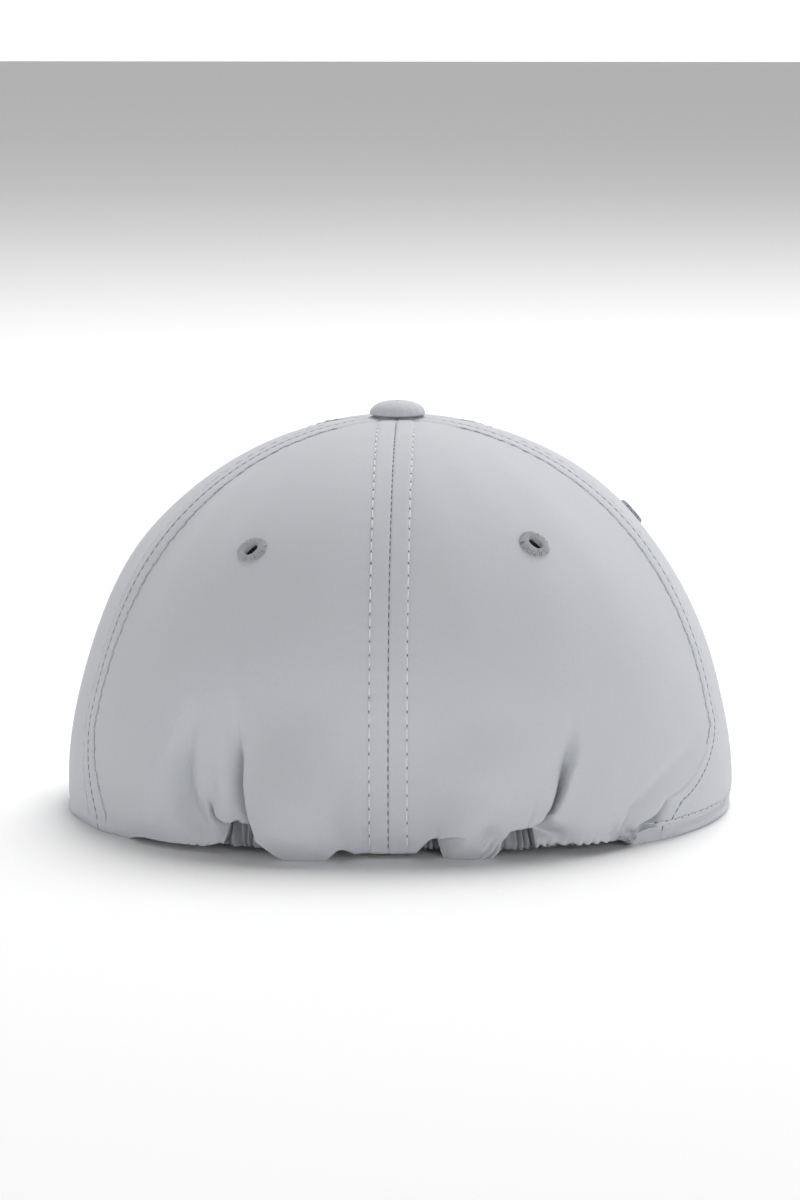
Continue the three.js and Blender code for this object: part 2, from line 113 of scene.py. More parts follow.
# Rows of points down a panel: calm ones to this station, then on to the bulge, the lip and the tuck
CALM_STATION = 0.6
CALM_ROWS = 45
PLAIN_ROWS = {"bulge": 30, "lip": 30}
FINE_ROWS = {"bulge": 76, "lip": 156}
TUCK_ROWS = 12
LEAST_FACE_AREA = 0.0005

# Peak, as in the CAD source
PEAK_END = 121
PEAK_THICKNESS = 3
PEAK_HALF_WIDTH = 84
PEAK_TIP = 170
PEAK_CENTRE = 50
PEAK_OUTLINE_POWER = 2.7
PEAK_SWEEP = 90
PEAK_DROP = 4
FRONT_HEM_HEIGHT = 20
HEM_RISE_START = 92

# Places where the lip lifts and shows the ruched band
LIFTS = [
    {"start": 31, "end": 50, "rise": 2.4, "soft_start": 2, "soft_end": 5},
    {"start": 26, "end": 33, "rise": 3.4, "soft_start": 1, "soft_end": 3},
    {"start": 19.8, "end": 29.2, "rise": 10.3, "soft_start": 4.4, "soft_end": 0.5},
    {"start": 6, "end": 9.6, "rise": 4.4, "soft_start": 2.4, "soft_end": 2},
    {"start": -6.5, "end": 7, "rise": 2.2, "soft_start": 1, "soft_end": 1},
    {"start": -9.3, "end": -5.6, "rise": 7.2, "soft_start": 1.1, "soft_end": 2.6},
    {"start": -25.6, "end": -19.4, "rise": 9.8, "soft_start": 0.15, "soft_end": 1.8},
    {"start": -44, "end": -25, "rise": 3.4, "soft_start": 3, "soft_end": 1},
]

# Rounded bags and hollows of the cloth
SWELLS = [
    {"azimuth": 15.2, "height": 4, "half_width": 11, "half_height": 42, "out": 9.6, "fullness": 1.6},
    {"azimuth": 15.2, "height": -3, "half_width": 10, "half_height": 12, "out": -4.4, "fullness": 1.4},
    {"azimuth": -13, "height": 4, "half_width": 7.5, "half_height": 17, "out": 4.2},
    {"azimuth": -13, "height": -3, "half_width": 7, "half_height": 10, "out": -2.6},
    {"azimuth": -16.8, "height": 7, "half_width": 3, "half_height": 5, "out": -1.7},
    {"azimuth": -17, "height": 22, "half_width": 12, "half_height": 19, "out": 2.4},
    {"azimuth": -28.8, "height": 4.4, "half_width": 5, "half_height": 6, "out": -3},
    {"azimuth": -37, "height": 11, "half_width": 9, "half_height": 24, "out": 2.2},
    {"azimuth": 27.3, "height": 24, "half_width": 4, "half_height": 18, "out": 1.3},
    {"azimuth": 42, "height": 12, "half_width": 11, "half_height": 26, "out": 1.8},
    {"azimuth": -105, "height": 96, "half_width": 50, "half_height": 26, "out": 1},
    {"azimuth": 105, "height": 98, "half_width": 50, "half_height": 26, "out": -0.8},
    {"azimuth": 85, "height": 46, "half_width": 42, "half_height": 36, "out": -1.2},
    {"azimuth": -85, "height": 8, "half_width": 40, "half_height": 30, "out": 1.2},
]

# Creases and laps: a path of azimuths and heights with, at each point of it, how deep the cloth dives, how
# far the hollow reaches and how soft its edge is. Then come the hollow side (1 towards positive azimuths on
# a path that runs up, 0 both), how far the other side hangs over, and the azimuths where the crease fades.
CREASES = [
    # Left edge of the bag
    {
        "azimuths": [21.2, 21.9, 22.7, 23.6, 24.3, 25.2, 26.2],
        "heights": [6, 10, 14, 21.4, 29.5, 37, 46],
        "depths": [3, 4.8, 6.4, 6.2, 4, 1.8, 0],
        "reach": [2.8, 2.8, 3, 3.6, 4.2, 4, 4],
        "edge": [0.5, 0.5, 0.5, 0.8, 2, 2.8, 3], "side": 1, "over": 0.1,
    },
    # Soft crescent left of the pocket
    {
        "azimuths": [31.5, 34.2, 36, 36.3, 35.4, 34],
        "heights": [5, 10, 17, 25.3, 33, 42],
        "depths": [1.6, 3.6, 4.8, 4.2, 2, 0],
        "reach": 3.4, "edge": 2.5, "side": 0, "over": 0,
    },
    # Faint crease above the pocket's lap
    {
        "azimuths": [30.6, 30.7, 31.2],
        "heights": [13, 17, 24],
        "depths": [0.7, 0.8, 0],
        "reach": 2.2, "edge": 0.5, "side": -1, "over": 0,
    },
    # Pocket's lap
    {
        "azimuths": [27, 28, 28.9, 29.9, 30.5, 30.8, 30.7],
        "heights": [10.2, 10.3, 10.4, 10.8, 11.8, 12.9, 16.7],
        "depths": [7, 6.6, 5.6, 4, 3.2, 2.4, 0],
        "reach": [9, 8, 6, 3, 2, 1.6, 1.2], "edge": 0.3, "side": 1, "over": 0.22, "fade": [25, 28],
    },
    # Long crease right of the window
    {
        "azimuths": [-26.8, -27.6, -28.6, -29.3, -29.9, -30.4, -31, -31.6, -32, -32.2, -32.2],
        "heights": [10.1, 11.2, 12.4, 14.3, 16.5, 18.7, 22.8, 26.9, 31.1, 36, 42],
        "depths": [2.4, 3.6, 4.8, 5.4, 5.2, 4.8, 4.2, 3.4, 2.2, 1, 0],
        "reach": [1, 1.1, 1.3, 1.5, 1.7, 2, 2.6, 3, 3, 3, 3],
        "edge": [0.3, 0.3, 0.4, 0.4, 0.5, 0.6, 0.9, 1.2, 1.5, 2, 2], "side": 1, "over": 0.2,
    },
    # Core of the long crease
    {
        "azimuths": [-24.6, -25.6, -26.6, -27.7, -28.6, -29.1, -29.6, -30, -30.5],
        "heights": [9.6, 9.8, 10.3, 11.8, 14.2, 17.2, 20.2, 23, 27],
        "depths": [1.2, 2.6, 3, 3, 2.8, 2.4, 1.6, 0.8, 0],
        "reach": 0.8, "edge": 1, "side": 0, "over": 0,
    },
    # Core of the pocket's lap
    {
        "azimuths": [28.2, 28.9, 29.8, 30.4, 30.7, 30.7],
        "heights": [9.8, 9.9, 10.3, 11.3, 12.5, 15],
        "depths": [2.4, 3.4, 3.2, 2.8, 2, 0], "reach": 0.8, "edge": 0.6, "side": 0, "over": 0,
    },
    # Rolled underside right of the window
    {
        "azimuths": [-25.9, -26.8, -28, -29.4, -31],
        "heights": [7.4, 7.2, 6.8, 6.2, 5.6],
        "depths": [1.6, 2.6, 2.6, 1.8, 0],
        "reach": 1.5, "edge": 1.3, "side": 0, "over": 0,
    },
    # Core of the sharp fold at the right seam
    {
        "azimuths": [-46.8, -48.9, -50.7, -52.1, -53.2],
        "heights": [4.9, 5.9, 7.3, 9.6, 12],
        "depths": [1, 2.6, 3, 2, 0],
        "reach": 0.9, "edge": 0.8, "side": 0, "over": 0,
    },
    # Lap over the window
    {
        "azimuths": [-18.8, -19.8, -20.3, -21.2, -23, -24.9, -26.8, -27.8],
        "heights": [5, 6.8, 8.4, 8.9, 9.2, 9.8, 10.1, 11.4],
        "depths": [0, 1, 1.5, 2, 2.6, 4.2, 3.4, 0],
        "reach": [3, 3, 3, 3, 3, 3.4, 2.2, 1.2], "edge": 0.35, "side": -1, "over": 0.2,
    },
    # Lap over the small bag
    {
        "azimuths": [-7.6, -8.8, -10.5, -12.6],
        "heights": [6.6, 6.9, 7.3, 7.1],
        "depths": [6, 5, 3, 0],
        "reach": [10, 10, 7, 4], "edge": 0.35, "side": -1, "over": 0.15, "fade": [-8.2, -8.8],
    },
    # Short crease over the window
    {
        "azimuths": [-23.8, -24.6, -25.4],
        "heights": [10.5, 13.5, 18],
        "depths": [0.6, 0.5, 0],
        "reach": 1.8, "edge": 0.7, "side": 1, "over": 0,
    },
    # Valley beside the right seam
    {
        "azimuths": [-41.9, -43.5, -47, -50.9, -57.4, -66.2],
        "heights": [8.2, 11.9, 15.7, 19.9, 24, 29.5],
        "depths": [1.8, 2.4, 2.2, 1.7, 1, 0],
        "reach": 4.2, "edge": [0.9, 1.4, 2.2, 3, 3.4, 3.6], "side": -1, "over": 0,
    },
    # Sharp fold at the right seam
    {
        "azimuths": [-46.3, -48.7, -50.4, -51.9, -53.4],
        "heights": [4.9, 6.2, 7.5, 10, 13.5],
        "depths": [0.8, 1.8, 2.4, 2, 0],
        "reach": [1.6, 1.8, 2, 2.2, 2.2], "edge": 0.4, "side": -1, "over": 0.15,
    },
    # Hem band on the right
    {
        "azimuths": [-45.5, -50, -56, -61, -68, -81, -95],
        "heights": [3, 3.9, 4.3, 4.3, 4.4, 4.8, 5.2],
        "depths": [0, 1.1, 1.3, 1.3, 1.2, 1, 0],
        "reach": 2, "edge": 0.35, "side": -1, "over": 0.1,
    },
]

# One degree of azimuth at the crown's widest, in mm
DEGREE = math.radians(95)
# How far the cloth beside a crease stands out, as a share of its depth, and how wide that is
PROUD_SHARE = 0.16
PROUD_REACH = 2.4
# How wide the overhang beside a lap is
OVERHANG_REACH = 1.8
# How far from its path a crease is worked out, as a multiple of its reach
CREASE_MARGIN = 2.6
# Straight steps on each stretch of a crease's curve
CURVE_STEPS = 6

# Small gathers along the hem, which fade upwards and lean, in degrees per mm
HEM_PLEATS = [
    {"start": 28, "end": 37, "pitch": 1.75, "depth": 0.7, "rise": 2.5, "lean": 0.1},
    {"start": -16, "end": -20.5, "pitch": 1.3, "depth": 0.9, "rise": 4.4, "lean": 0.4},
    {"start": -25, "end": -38, "pitch": 1.8, "depth": 1, "rise": 3.4, "lean": 0.25},
    {"start": -38, "end": -46, "pitch": 1.5, "depth": 1.5, "rise": 6, "lean": 0.45},
]

# Soft unevenness of the cloth: a sum of waves
SLACK_DEPTH = 0.36
SLACK_WAVES = 26

# Ruched band inside the back hem, fanned where the lip lifts
RUCHE_PITCH = 1.45
RUCHE_DEPTH = 3
RUCHE_SWELL = 4
POCKET_SWELL = 2.6
RUCHE_TOP = 18.5
RUCHE_FOOT = 1.6
RUCHE_FINENESS = 0.8
RUCHE_COLUMNS = 1600
RUCHE_ROWS = 34
RUCHE_FANS = [
    {"azimuth": 24.5, "half_width": 5, "spread": 0.06, "lean": 0},
    {"azimuth": -21, "half_width": 6, "spread": 0, "lean": -0.035},
]
CASING_INSET = 0.9

# Seams and stitches
TOPSTITCH_APART = 5.15
TOPSTITCH_PITCH = 3.9
TOPSTITCH_LENGTH = 3.1
DITCH_PITCH = 2.5
DITCH_LENGTH = 1.7
THREAD_RADIUS = 0.27
DITCH_THREAD_RADIUS = 0.15
THREAD_SIDES = 6
# Places along a stitch, with its rise and its thickness there as shares of the thread's radius
THREAD_SHARES = np.array([0, 0.12, 0.5, 0.88, 1])
THREAD_RISE = np.array([-1.6, 0, 0.5, 0, -1.6])
THREAD_TAPER = np.array([0.5, 0.95, 1, 0.95, 0.5])
NEEDLE_HOLE_SIDES = 8
NEEDLE_HOLE_LENGTH = 0.6
NEEDLE_HOLE_WIDTH = 0.48
NEEDLE_HOLE_RISE = 0.05
PATH_POINTS = 1600
ROUND_PATH_POINTS = 900
HEM_STITCH_HEIGHT = 5.5
HEM_ROW_GAP = 0.5
LEFT_HEM_ROW_START = 100
SEAM_DITCH = 0.22
DITCH_HALF_WIDTH = 0.45
SEAM_RIDGE = 0.35
STITCH_DIP = 0.16
DIP_HALF_WIDTH = 0.55
STITCH_PUCKER = 0.1
SIDE_PUCKER = 0.09
PUCKER_REACH = 2.6
SLOW_PUCKER_PITCH = 11.3

# Covered button
BUTTON_COLUMNS = 96
BUTTON_RADIUS = 8
BUTTON_RIM_HEIGHT = 0.9
BUTTON_RISE = 3.7
BUTTON_UNDER = 0.95
BUTTON_GATHER = 0.1
BUTTON_GATHERS = 17

# Vent rings
EYELETS = [
    {"node": "left_back_eyelet", "azimuth": 30.8, "height": 82.6},
    {"node": "right_back_eyelet", "azimuth": -32.8, "height": 84.2},
    {"node": "left_side_eyelet", "azimuth": 110, "height": 84},
    {"node": "right_side_eyelet", "azimuth": -102.5, "height": 84},
]
EYELET_RADIUS = 4.5
EYELET_HOLE_RADIUS = 1.75
EYELET_THREADS = 42
EYELET_HOLE_STRETCH = 0.2
EYELET_CUT_INSET = 1.6
EYELET_SQUASH = 0.93
EYELET_HOLE_TILT = 2.2
EYELET_THREAD_SPREAD = 0.18
EYELET_COLUMNS = 49
# Radii and rises of the padded core under the threads, whose dark colour is painted shade, and of the hole,
# a near-black sheet of painted shade
EYELET_CORE = {"radii": [1.8, 2.4, 3.4, EYELET_RADIUS - 0.5], "rises": [-0.4, 0.2, 0.2, -0.1]}
EYELET_HOLE = {
    "radii": [0.05, EYELET_HOLE_RADIUS, EYELET_HOLE_RADIUS, 1.9],
    "rises": [-1.5, -1.4, -0.3, -0.35],
}

# Sweatband, which ends a fraction of a degree from the elastic
BAND_END_GAP = 0.3
BAND_COLUMNS = 260
BAND_ROWS = 14
BAND_HEIGHT = 30
BAND_SLANT = 1.5
BAND_THICKNESS = 1.2
BAND_EDGE = 0.25
BAND_STITCH_HEIGHTS = {"low": 3, "high": 26}

# Stitch rows on the peak, as shares of the way from the crown to its edge
PEAK_ROWS = 7
PEAK_FIRST_ROW = 0.93
PEAK_ROW_STEP = 0.11
PEAK_GROOVE = 0.12
PEAK_GROOVE_HALF_WIDTH = 0.006
PEAK_COLUMNS = 220
PEAK_TOP_ROWS = 60
PEAK_UNDER_ROWS = 40
PEAK_EDGE_START = 0.985

# Colours, as linear light
CLOTH_COLOUR = (0.485, 0.497, 0.527)
# Ruched casing: the cloth's grey darkened as painted shade for the hollow under the lip
CASING_PAINTED_SHADE_COLOUR = (0.36, 0.368, 0.392)
THREAD_COLOUR = (0.78, 0.785, 0.8)
SIDE_THREAD_COLOUR = (0.6, 0.61, 0.635)
# Thread in the seam ditch, near black as painted shade of the ditch; also the eyelets' padded core, painted
# shade between their threads
DITCH_PAINTED_SHADE_COLOUR = (0.16, 0.165, 0.185)
VENT_THREAD_COLOUR = (0.42, 0.428, 0.448)
# Vent hole: a near-black sheet of painted shade where the hole looks into the crown
VENT_HOLE_PAINTED_SHADE_COLOUR = (0.012, 0.012, 0.014)
# Needle holes: dark discs of painted shade
NEEDLE_HOLE_PAINTED_SHADE_COLOUR = (0.07, 0.072, 0.08)
FLOOR_COLOUR = (0.96, 0.96, 0.96)

# Cloth and thread: metres of relief, millimetres of yarn pitch
YARN_PITCH = 0.4
BAND_YARN_PITCH = 0.6
FINE_WEAVE = 0.00001
COARSE_WEAVE = 0.0001
CLOTH_ROUGHNESS = 0.72
BAND_ROUGHNESS = 0.85
THREAD_ROUGHNESS = 0.6
THREAD_TWIST = 0.00005
CRINKLE_SCALE = 60.0
TONE_SCALE = 14.0

# Studio: a white backdrop in front of the peak and, behind the camera, a room that is bright at the horizon
# and darkens upwards. Lights are placed in metres from the crown's foot.
BACKDROP_STRENGTH = 1.1
BACKDROP_END = -0.7
ROOM_STRENGTH = 3.1
CEILING_STRENGTH = 0.05
HORIZON_BAND = 0.4
FLOOR_HALF_SIZE = 6
LIGHTS = [
    {"name": "overhead light", "place": (-0.35, -0.9, 1.9), "size": 1.3, "power": 38},
    {"name": "right light", "place": (-0.9, 2.2, 0.5), "size": 0.6, "power": 7},
]


# Small helpers

def ramp(value, low, high):
    """0 below low, 1 above high, smooth between."""
    t = np.clip((value - low) / (high - low), 0, 1)
    return t * t * (3 - 2 * t)


def mix(a, b, t):
    """From a at t 0 to b at t 1."""
    return a + (b - a) * t


def turned(angle, radius, height):
    """Points at an angle round the crown's axis, in radians, and a radius and a height in mm."""
    return np.stack(np.broadcast_arrays(radius * np.sin(angle), radius * np.cos(angle), height), -1)


def lengths_along(path):
    """How far along a path each of its points lies."""
    steps = np.linalg.norm(np.diff(path, axis=0), axis=1)
    return np.concatenate([[0], np.cumsum(steps)])


def section(azimuth, column):
    """A column of SECTIONS at any azimuth, on the curve that the CAD source uses."""
    a = np.abs(azimuth)
    values = np.array(SECTIONS[column], float)
    slopes = np.zeros(len(values))
    slopes[1:-1] = (values[2:] - values[:-2]) / (SECTION_AZIMUTH[2:] - SECTION_AZIMUTH[:-2])
    high = np.clip(np.searchsorted(SECTION_AZIMUTH, a, side="left"), 1, len(values) - 1)
    low = high - 1
    span = SECTION_AZIMUTH[high] - SECTION_AZIMUTH[low]
    t = (a - SECTION_AZIMUTH[low]) / span
    bend = (1 - t) ** 2 * t * span * slopes[low] - t * t * (1 - t) * span * slopes[high]
    return mix(values[low], values[high], t * t * (3 - 2 * t)) + bend


def peak_top(x, y):
    """Height of the peak's top face over a point of the plan."""
    front_top = FRONT_HEM_HEIGHT - FIT_GAP
    arch = (front_top - PEAK_THICKNESS) * (x / PEAK_HALF_WIDTH) ** 2
    hem_front = section(180.0, "lip_radius")
    forward = np.clip((-y - hem_front) / (PEAK_TIP - hem_front), 0, 1)
    return front_top - arch - PEAK_DROP * forward * (2 - forward)


def hem_height(azimuth):
    """Height of the plain hem: on the table behind and at the sides, on the peak in front."""
    a = np.abs(azimuth)
    on_peak = np.maximum(a, PEAK_END)
    lip = section(on_peak, "lip_radius")
    top = peak_top(lip * np.sin(np.radians(on_peak)), lip * np.cos(np.radians(on_peak))) + FIT_GAP
    return top * ramp(a, HEM_RISE_START, PEAK_END)


def hem_pleats(azimuth, height):
    """Sum of the small gathers at the hem, in mm."""
    total = np.zeros_like(azimuth)
    for row in HEM_PLEATS:
        low, high = sorted((row["start"], row["end"]))
        share = ramp(azimuth, low - 1, low + 1.5) * (1 - ramp(azimuth, high - 1.5, high + 1))
        at = azimuth + row["lean"] * height
        wander = 0.8 * np.sin(at * 0.9) + 0.5 * np.sin(at * 2.3 + 1)
        fade = np.exp(-((np.maximum(height, 0) / row["rise"]) ** 2))
        total += row["depth"] * share * fade * np.sin(math.tau * at / row["pitch"] + wander)
    return total


def lip_height(azimuth):
    """Height of the back hem's lip, lifted at the gathers."""
    lift = np.zeros_like(azimuth)
    for row in LIFTS:
        up = ramp(azimuth, row["start"] - row["soft_start"], row["start"] + row["soft_start"])
        down = 1 - ramp(azimuth, row["end"] - row["soft_end"], row["end"] + row["soft_end"])
        lift = np.maximum(lift, row["rise"] * up * down)
    return hem_height(azimuth) + lift + np.maximum(0, 0.7 * hem_pleats(azimuth, np.zeros_like(azimuth)))


def smooth_path(row):
    """The path of a crease as close points: mm across, mm up, depth, reach and edge."""
    across = np.array(row["azimuths"], float) * DEGREE
    columns = [across, row["heights"], row["depths"], row["reach"], row["edge"]]
    known = np.stack([np.broadcast_to(column, len(across)) for column in columns], -1)
    slopes = np.gradient(known, axis=0)
    pieces = []
    for k in range(len(known) - 1):
        t = np.linspace(0, 1, CURVE_STEPS + 1)[:, None]
        if k < len(known) - 2:
            t = t[:-1]
        flat = t * t * (3 - 2 * t)
        bend = t * (1 - t) ** 2 * slopes[k] - t * t * (1 - t) * slopes[k + 1]
        pieces.append(mix(known[k], known[k + 1], flat) + bend)
    return np.concatenate(pieces)


def from_crease(row, azimuth, height):
    """For points of the crown: mm from the crease, positive on its hollow side, the depth, reach and edge
    at its nearest point, and the direction across it towards that side."""
    across = azimuth * DEGREE
    best = np.full(across.shape, 1e9)
    values = np.zeros((6, *across.shape))
    path = smooth_path(row)
    for (ax, az, *here), (bx, bz, *there) in zip(path, path[1:]):
        dx = bx - ax
        dz = bz - az
        length = math.hypot(dx, dz)
        t = np.clip(((across - ax) * dx + (height - az) * dz) / length**2, 0, 1)
        px = across - ax - t * dx
        pz = height - az - t * dz
        distance = np.hypot(px, pz)
        nearer = distance < best
        best = np.where(nearer, distance, best)
        side = np.where(px * dz - pz * dx >= 0, 1, -1)
        shape = [mix(a, b, t) for a, b in zip(here, there)]
        found = (distance * side, *shape, dz / length, -dx / length)
        for k, value in enumerate(found):
            values[k] = np.where(nearer, value, values[k])
    turn = row["side"] or 1
    return values[0] * turn, values[1], values[2], values[3], values[4] * turn, values[5] * turn


def crease_moves(row, azimuth, height):
    """How a crease moves the cloth, in mm: outwards, and across and up where one side hangs over."""
    inward, depth, reach, edge, to_x, to_z = from_crease(row, azimuth, height)
    if "fade" in row:
        depth = depth * ramp(azimuth, *row["fade"])
    if row["side"] == 0:
        out = -depth * np.exp(-((inward / reach) ** 2))
        return out, np.zeros_like(out), np.zeros_like(out)
    hollow = -np.exp(-((np.maximum(inward, 0) / reach) ** 2))
    proud = PROUD_SHARE * np.exp(-((np.minimum(inward, 0) / PROUD_REACH) ** 2))
    step = ramp(inward, -edge, edge)
    over = row["over"] * depth * np.exp(-((inward / OVERHANG_REACH) ** 2)) * (1 - step)
    return depth * mix(proud, hollow, step), over * to_x, over * to_z


def folds(azimuth, height):
    """How bags, creases and gathers move the cloth, in mm outwards, across and up."""
    out = np.zeros_like(azimuth)
    across_move = np.zeros_like(azimuth)
    up_move = np.zeros_like(azimuth)
    for row in SWELLS:
        across = np.minimum(np.abs(azimuth - row["azimuth"]) / row["half_width"], 1)
        across = across ** row.get("fullness", 1)
        up = np.minimum(np.abs(height - row["height"]) / row["half_height"], 1)
        out += row["out"] * (np.cos(across * math.pi / 2) * np.cos(up * math.pi / 2)) ** 2
    for row in CREASES:
        margin = CREASE_MARGIN * np.max(row["reach"]) + 1
        beside = margin / DEGREE
        near = (azimuth > min(row["azimuths"]) - beside) & (azimuth < max(row["azimuths"]) + beside)
        near &= (height > min(row["heights"]) - margin) & (height < max(row["heights"]) + margin)
        if near.any():
            moves = crease_moves(row, azimuth[near], height[near])
            out[near] += moves[0]
            across_move[near] += moves[1]
            up_move[near] += moves[2]
    return out + hem_pleats(azimuth, height), across_move, up_move


def crown_surface(azimuth, station):
    """Points of the crown, in mm from its axis. station runs 0 to 1 from the top hole to the bulge,
    on to 2 at the lip and to 3 inside at the band."""
    azimuth, station = np.broadcast_arrays(np.asarray(azimuth, float), np.asarray(station, float))
    azimuth = (azimuth + 180) % 360 - 180
    bulge = section(azimuth, "bulge_radius")
    bulge_height = section(azimuth, "bulge_height")
    lip = section(azimuth, "lip_radius")
    lip_at = lip_height(azimuth)
    inner = section(azimuth, "band_radius") + 2 * FIT_GAP
    elastic = 1 - ramp(np.abs(azimuth), ELASTIC_END - ELASTIC_BLEND, ELASTIC_END)
    tuck_top = mix(lip_at + PLAIN_TUCK, TUCK_TOP, elastic)
    power = 2 / section(azimuth, "roundness")

    upper_start = np.arcsin((TOP_HOLE_RADIUS / bulge) ** (1 / power))
    angle = mix(upper_start, math.pi / 2, np.clip(station, 0, 1))
    upper_height = bulge_height + (CROWN_HEIGHT - bulge_height) * np.maximum(np.cos(angle), 0) ** power
    upper_radius = bulge * np.sin(angle) ** power

    lower_power = 2 / LOWER_ROUNDNESS
    plain_drop = bulge_height - hem_height(azimuth)
    last_turn = np.arcsin(np.clip((bulge_height - lip_at) / plain_drop, 0, 1) ** (1 / lower_power))
    turn = np.minimum(np.clip(station - 1, 0, 1) * math.pi / 2, last_turn)
    lower_height = bulge_height - plain_drop * np.sin(turn) ** lower_power
    lower_radius = lip + (bulge - lip) * np.maximum(np.cos(turn), 0) ** lower_power
    lip = lip + (bulge - lip) * np.maximum(np.cos(last_turn), 0) ** lower_power

    tuck = np.clip(station - 2, 0, 1)
    tuck_height = tuck_top - (tuck_top - lip_at) * np.cos(tuck * math.pi / 2)
    tuck_radius = lip - (lip - inner) * np.sin(tuck * math.pi / 2)

    height = np.where(station <= 1, upper_height, np.where(station <= 2, lower_height, tuck_height))
    radius = np.where(station <= 1, upper_radius, np.where(station <= 2, lower_radius, tuck_radius))
    out, across, up = folds(azimuth, np.where(station <= 2, height, lip_at) - FLATTENED)
    stays = (1 - tuck) ** 2
    radius = radius + out * stays
    settled = np.maximum(height + up * stays - FLATTENED, 0)
    a = np.radians(azimuth) + across * stays / np.maximum(radius, 1)
    return turned(a, radius, settled)


def crown_normals(azimuth, station):
    """Outward directions of the crown's surface."""
    turn = 0.05
    step = 0.002
    east = crown_surface(azimuth + turn, station) - crown_surface(azimuth - turn, station)
    down = crown_surface(azimuth, station + step) - crown_surface(azimuth, station - step)
    normal = np.cross(east, down)
    return normal / np.maximum(np.linalg.norm(normal, axis=-1, keepdims=True), 1e-9)


def seam_azimuth(seam, station):
    """Azimuth of a seam at a station: a number, or a back seam that swings towards the gathers."""
    if not isinstance(seam, dict):
        return np.full(np.shape(station), float(seam))
    straight = crown_surface(np.full(np.shape(station), float(seam["high"])), station)[..., 2] + FLATTENED
    share = np.clip((straight - seam["swing_from"]) / (seam["swing_to"] - seam["swing_from"]), 0, 1)
    swung = mix(seam["at_hem"], seam["high"], 1 - (1 - share) ** SWING_POWER)
    return np.where(station >= 2, seam["at_hem"], swung)


# Making meshes

def make_piece(name, points, faces, uv, material, slot_name, cad_nodes=()):
    """A smooth mesh piece from points in mm from the crown's axis, with texture places in mm."""
    mesh = bpy.data.meshes.new(name)
    world = points.reshape(-1, 3) * MM + np.array(CROWN_AXIS)
    mesh.from_pydata(world, [], faces)
    layer = mesh.uv_layers.new(name="cloth")
    corners = np.empty(len(mesh.loops), np.int32)
    mesh.loops.foreach_get("vertex_index", corners)
    layer.data.foreach_set("uv", uv.reshape(-1, 2)[corners].astype(np.float32).ravel())
    mesh.shade_smooth()
    mesh.materials.append(material)
    piece = bpy.data.objects.new(name, mesh)
    bpy.context.scene.collection.objects.link(piece)
    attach(piece, "root")
    if cad_nodes:
        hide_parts(*cad_nodes)


def grid_faces(rows, columns, closed=False):
    """Quads of a grid of points whose rows run down and columns run across."""
    across = columns if closed else columns - 1
    row, column = np.meshgrid(np.arange(rows - 1), np.arange(across), indexing="ij")
    after = (column + 1) % columns
    here = row * columns
    below = here + columns
    quads = [here + column, here + after, below + after, below + column]
    return np.stack(quads, -1).reshape(-1, 4)


def grid_lengths(points):
    """How far along the cloth each point of a grid lies, across and down, in mm."""
    across = np.linalg.norm(np.diff(points, axis=1), axis=-1)
    down = np.linalg.norm(np.diff(points, axis=0), axis=-1)
    across = np.pad(np.cumsum(across, axis=1), ((0, 0), (1, 0)))
    down = np.pad(np.cumsum(down, axis=0), ((1, 0), (0, 0)))
    return np.stack([across - across[:, -1:] / 2, down], -1)


def joined(parts):
    """Points, faces and texture places of many like pieces in one mesh."""
    points, faces, uv = [], [], []
    start = 0
    for part_points, part_faces, part_uv in parts:
        points.append(part_points.reshape(-1, 3))
        faces.append(part_faces + start)
        uv.append(part_uv.reshape(-1, 2))
        start += len(points[-1])
    return np.concatenate(points), np.concatenate(faces), np.concatenate(uv)


# Sewn crown panels

seam_routes = {}


def trace(seam):
    """Stations down a seam and how many mm of seam lie above each, worked out once for each seam."""
    if str(seam) not in seam_routes:
        stations = np.linspace(0, 2.1, 1200)
        points = crown_surface(seam_azimuth(seam, stations), stations)
        seam_routes[str(seam)] = {"stations": stations, "lengths": lengths_along(points)}
    return seam_routes[str(seam)]


def seam_relief(azimuth, station, radius, seam):
    """Ditch, padded band and stitch rows beside one seam, in mm outwards."""
    route = trace(seam)
    across = np.abs(np.radians(azimuth - seam_azimuth(seam, station))) * radius
    along = np.interp(station, route["stations"], route["lengths"])
    ditch = -SEAM_DITCH * np.exp(-((across / DITCH_HALF_WIDTH) ** 2))
    band = SEAM_RIDGE * (1 - ramp(across, TOPSTITCH_APART - 0.4, TOPSTITCH_APART + 0.5))
    from_row = across - TOPSTITCH_APART
    dip = -STITCH_DIP * np.exp(-((from_row / DIP_HALF_WIDTH) ** 2))
    slow = 0.7 * np.sin(math.tau * along / SLOW_PUCKER_PITCH + 1)
    gather = np.sin(math.tau * along / TOPSTITCH_PITCH) + slow
    height = SIDE_PUCKER if seam else STITCH_PUCKER
    pucker = height * gather * np.exp(-((from_row / PUCKER_REACH) ** 2))
    return (ditch + band + dip + pucker) * (1 - ramp(station, 1.97, 2.02))


def slack(azimuth, station):
    """Soft unevenness of the thin cloth, in mm outwards."""
    rng = np.random.default_rng(5)
    total = np.zeros(np.broadcast(azimuth, station).shape)
    for _ in range(SLACK_WAVES):
        turns = rng.uniform(2, 13)
        drops = rng.uniform(0.4, 3.2)
        phase = rng.uniform(0, math.tau)
        tilt = rng.choice([-1, 1])
        down = tilt * drops * station * math.pi
        total += np.sin(np.radians(azimuth) * turns * 2 + down + phase) / turns
    return SLACK_DEPTH * total * ramp(station, 0.15, 0.6) * (1 - ramp(station, 1.5, 2))


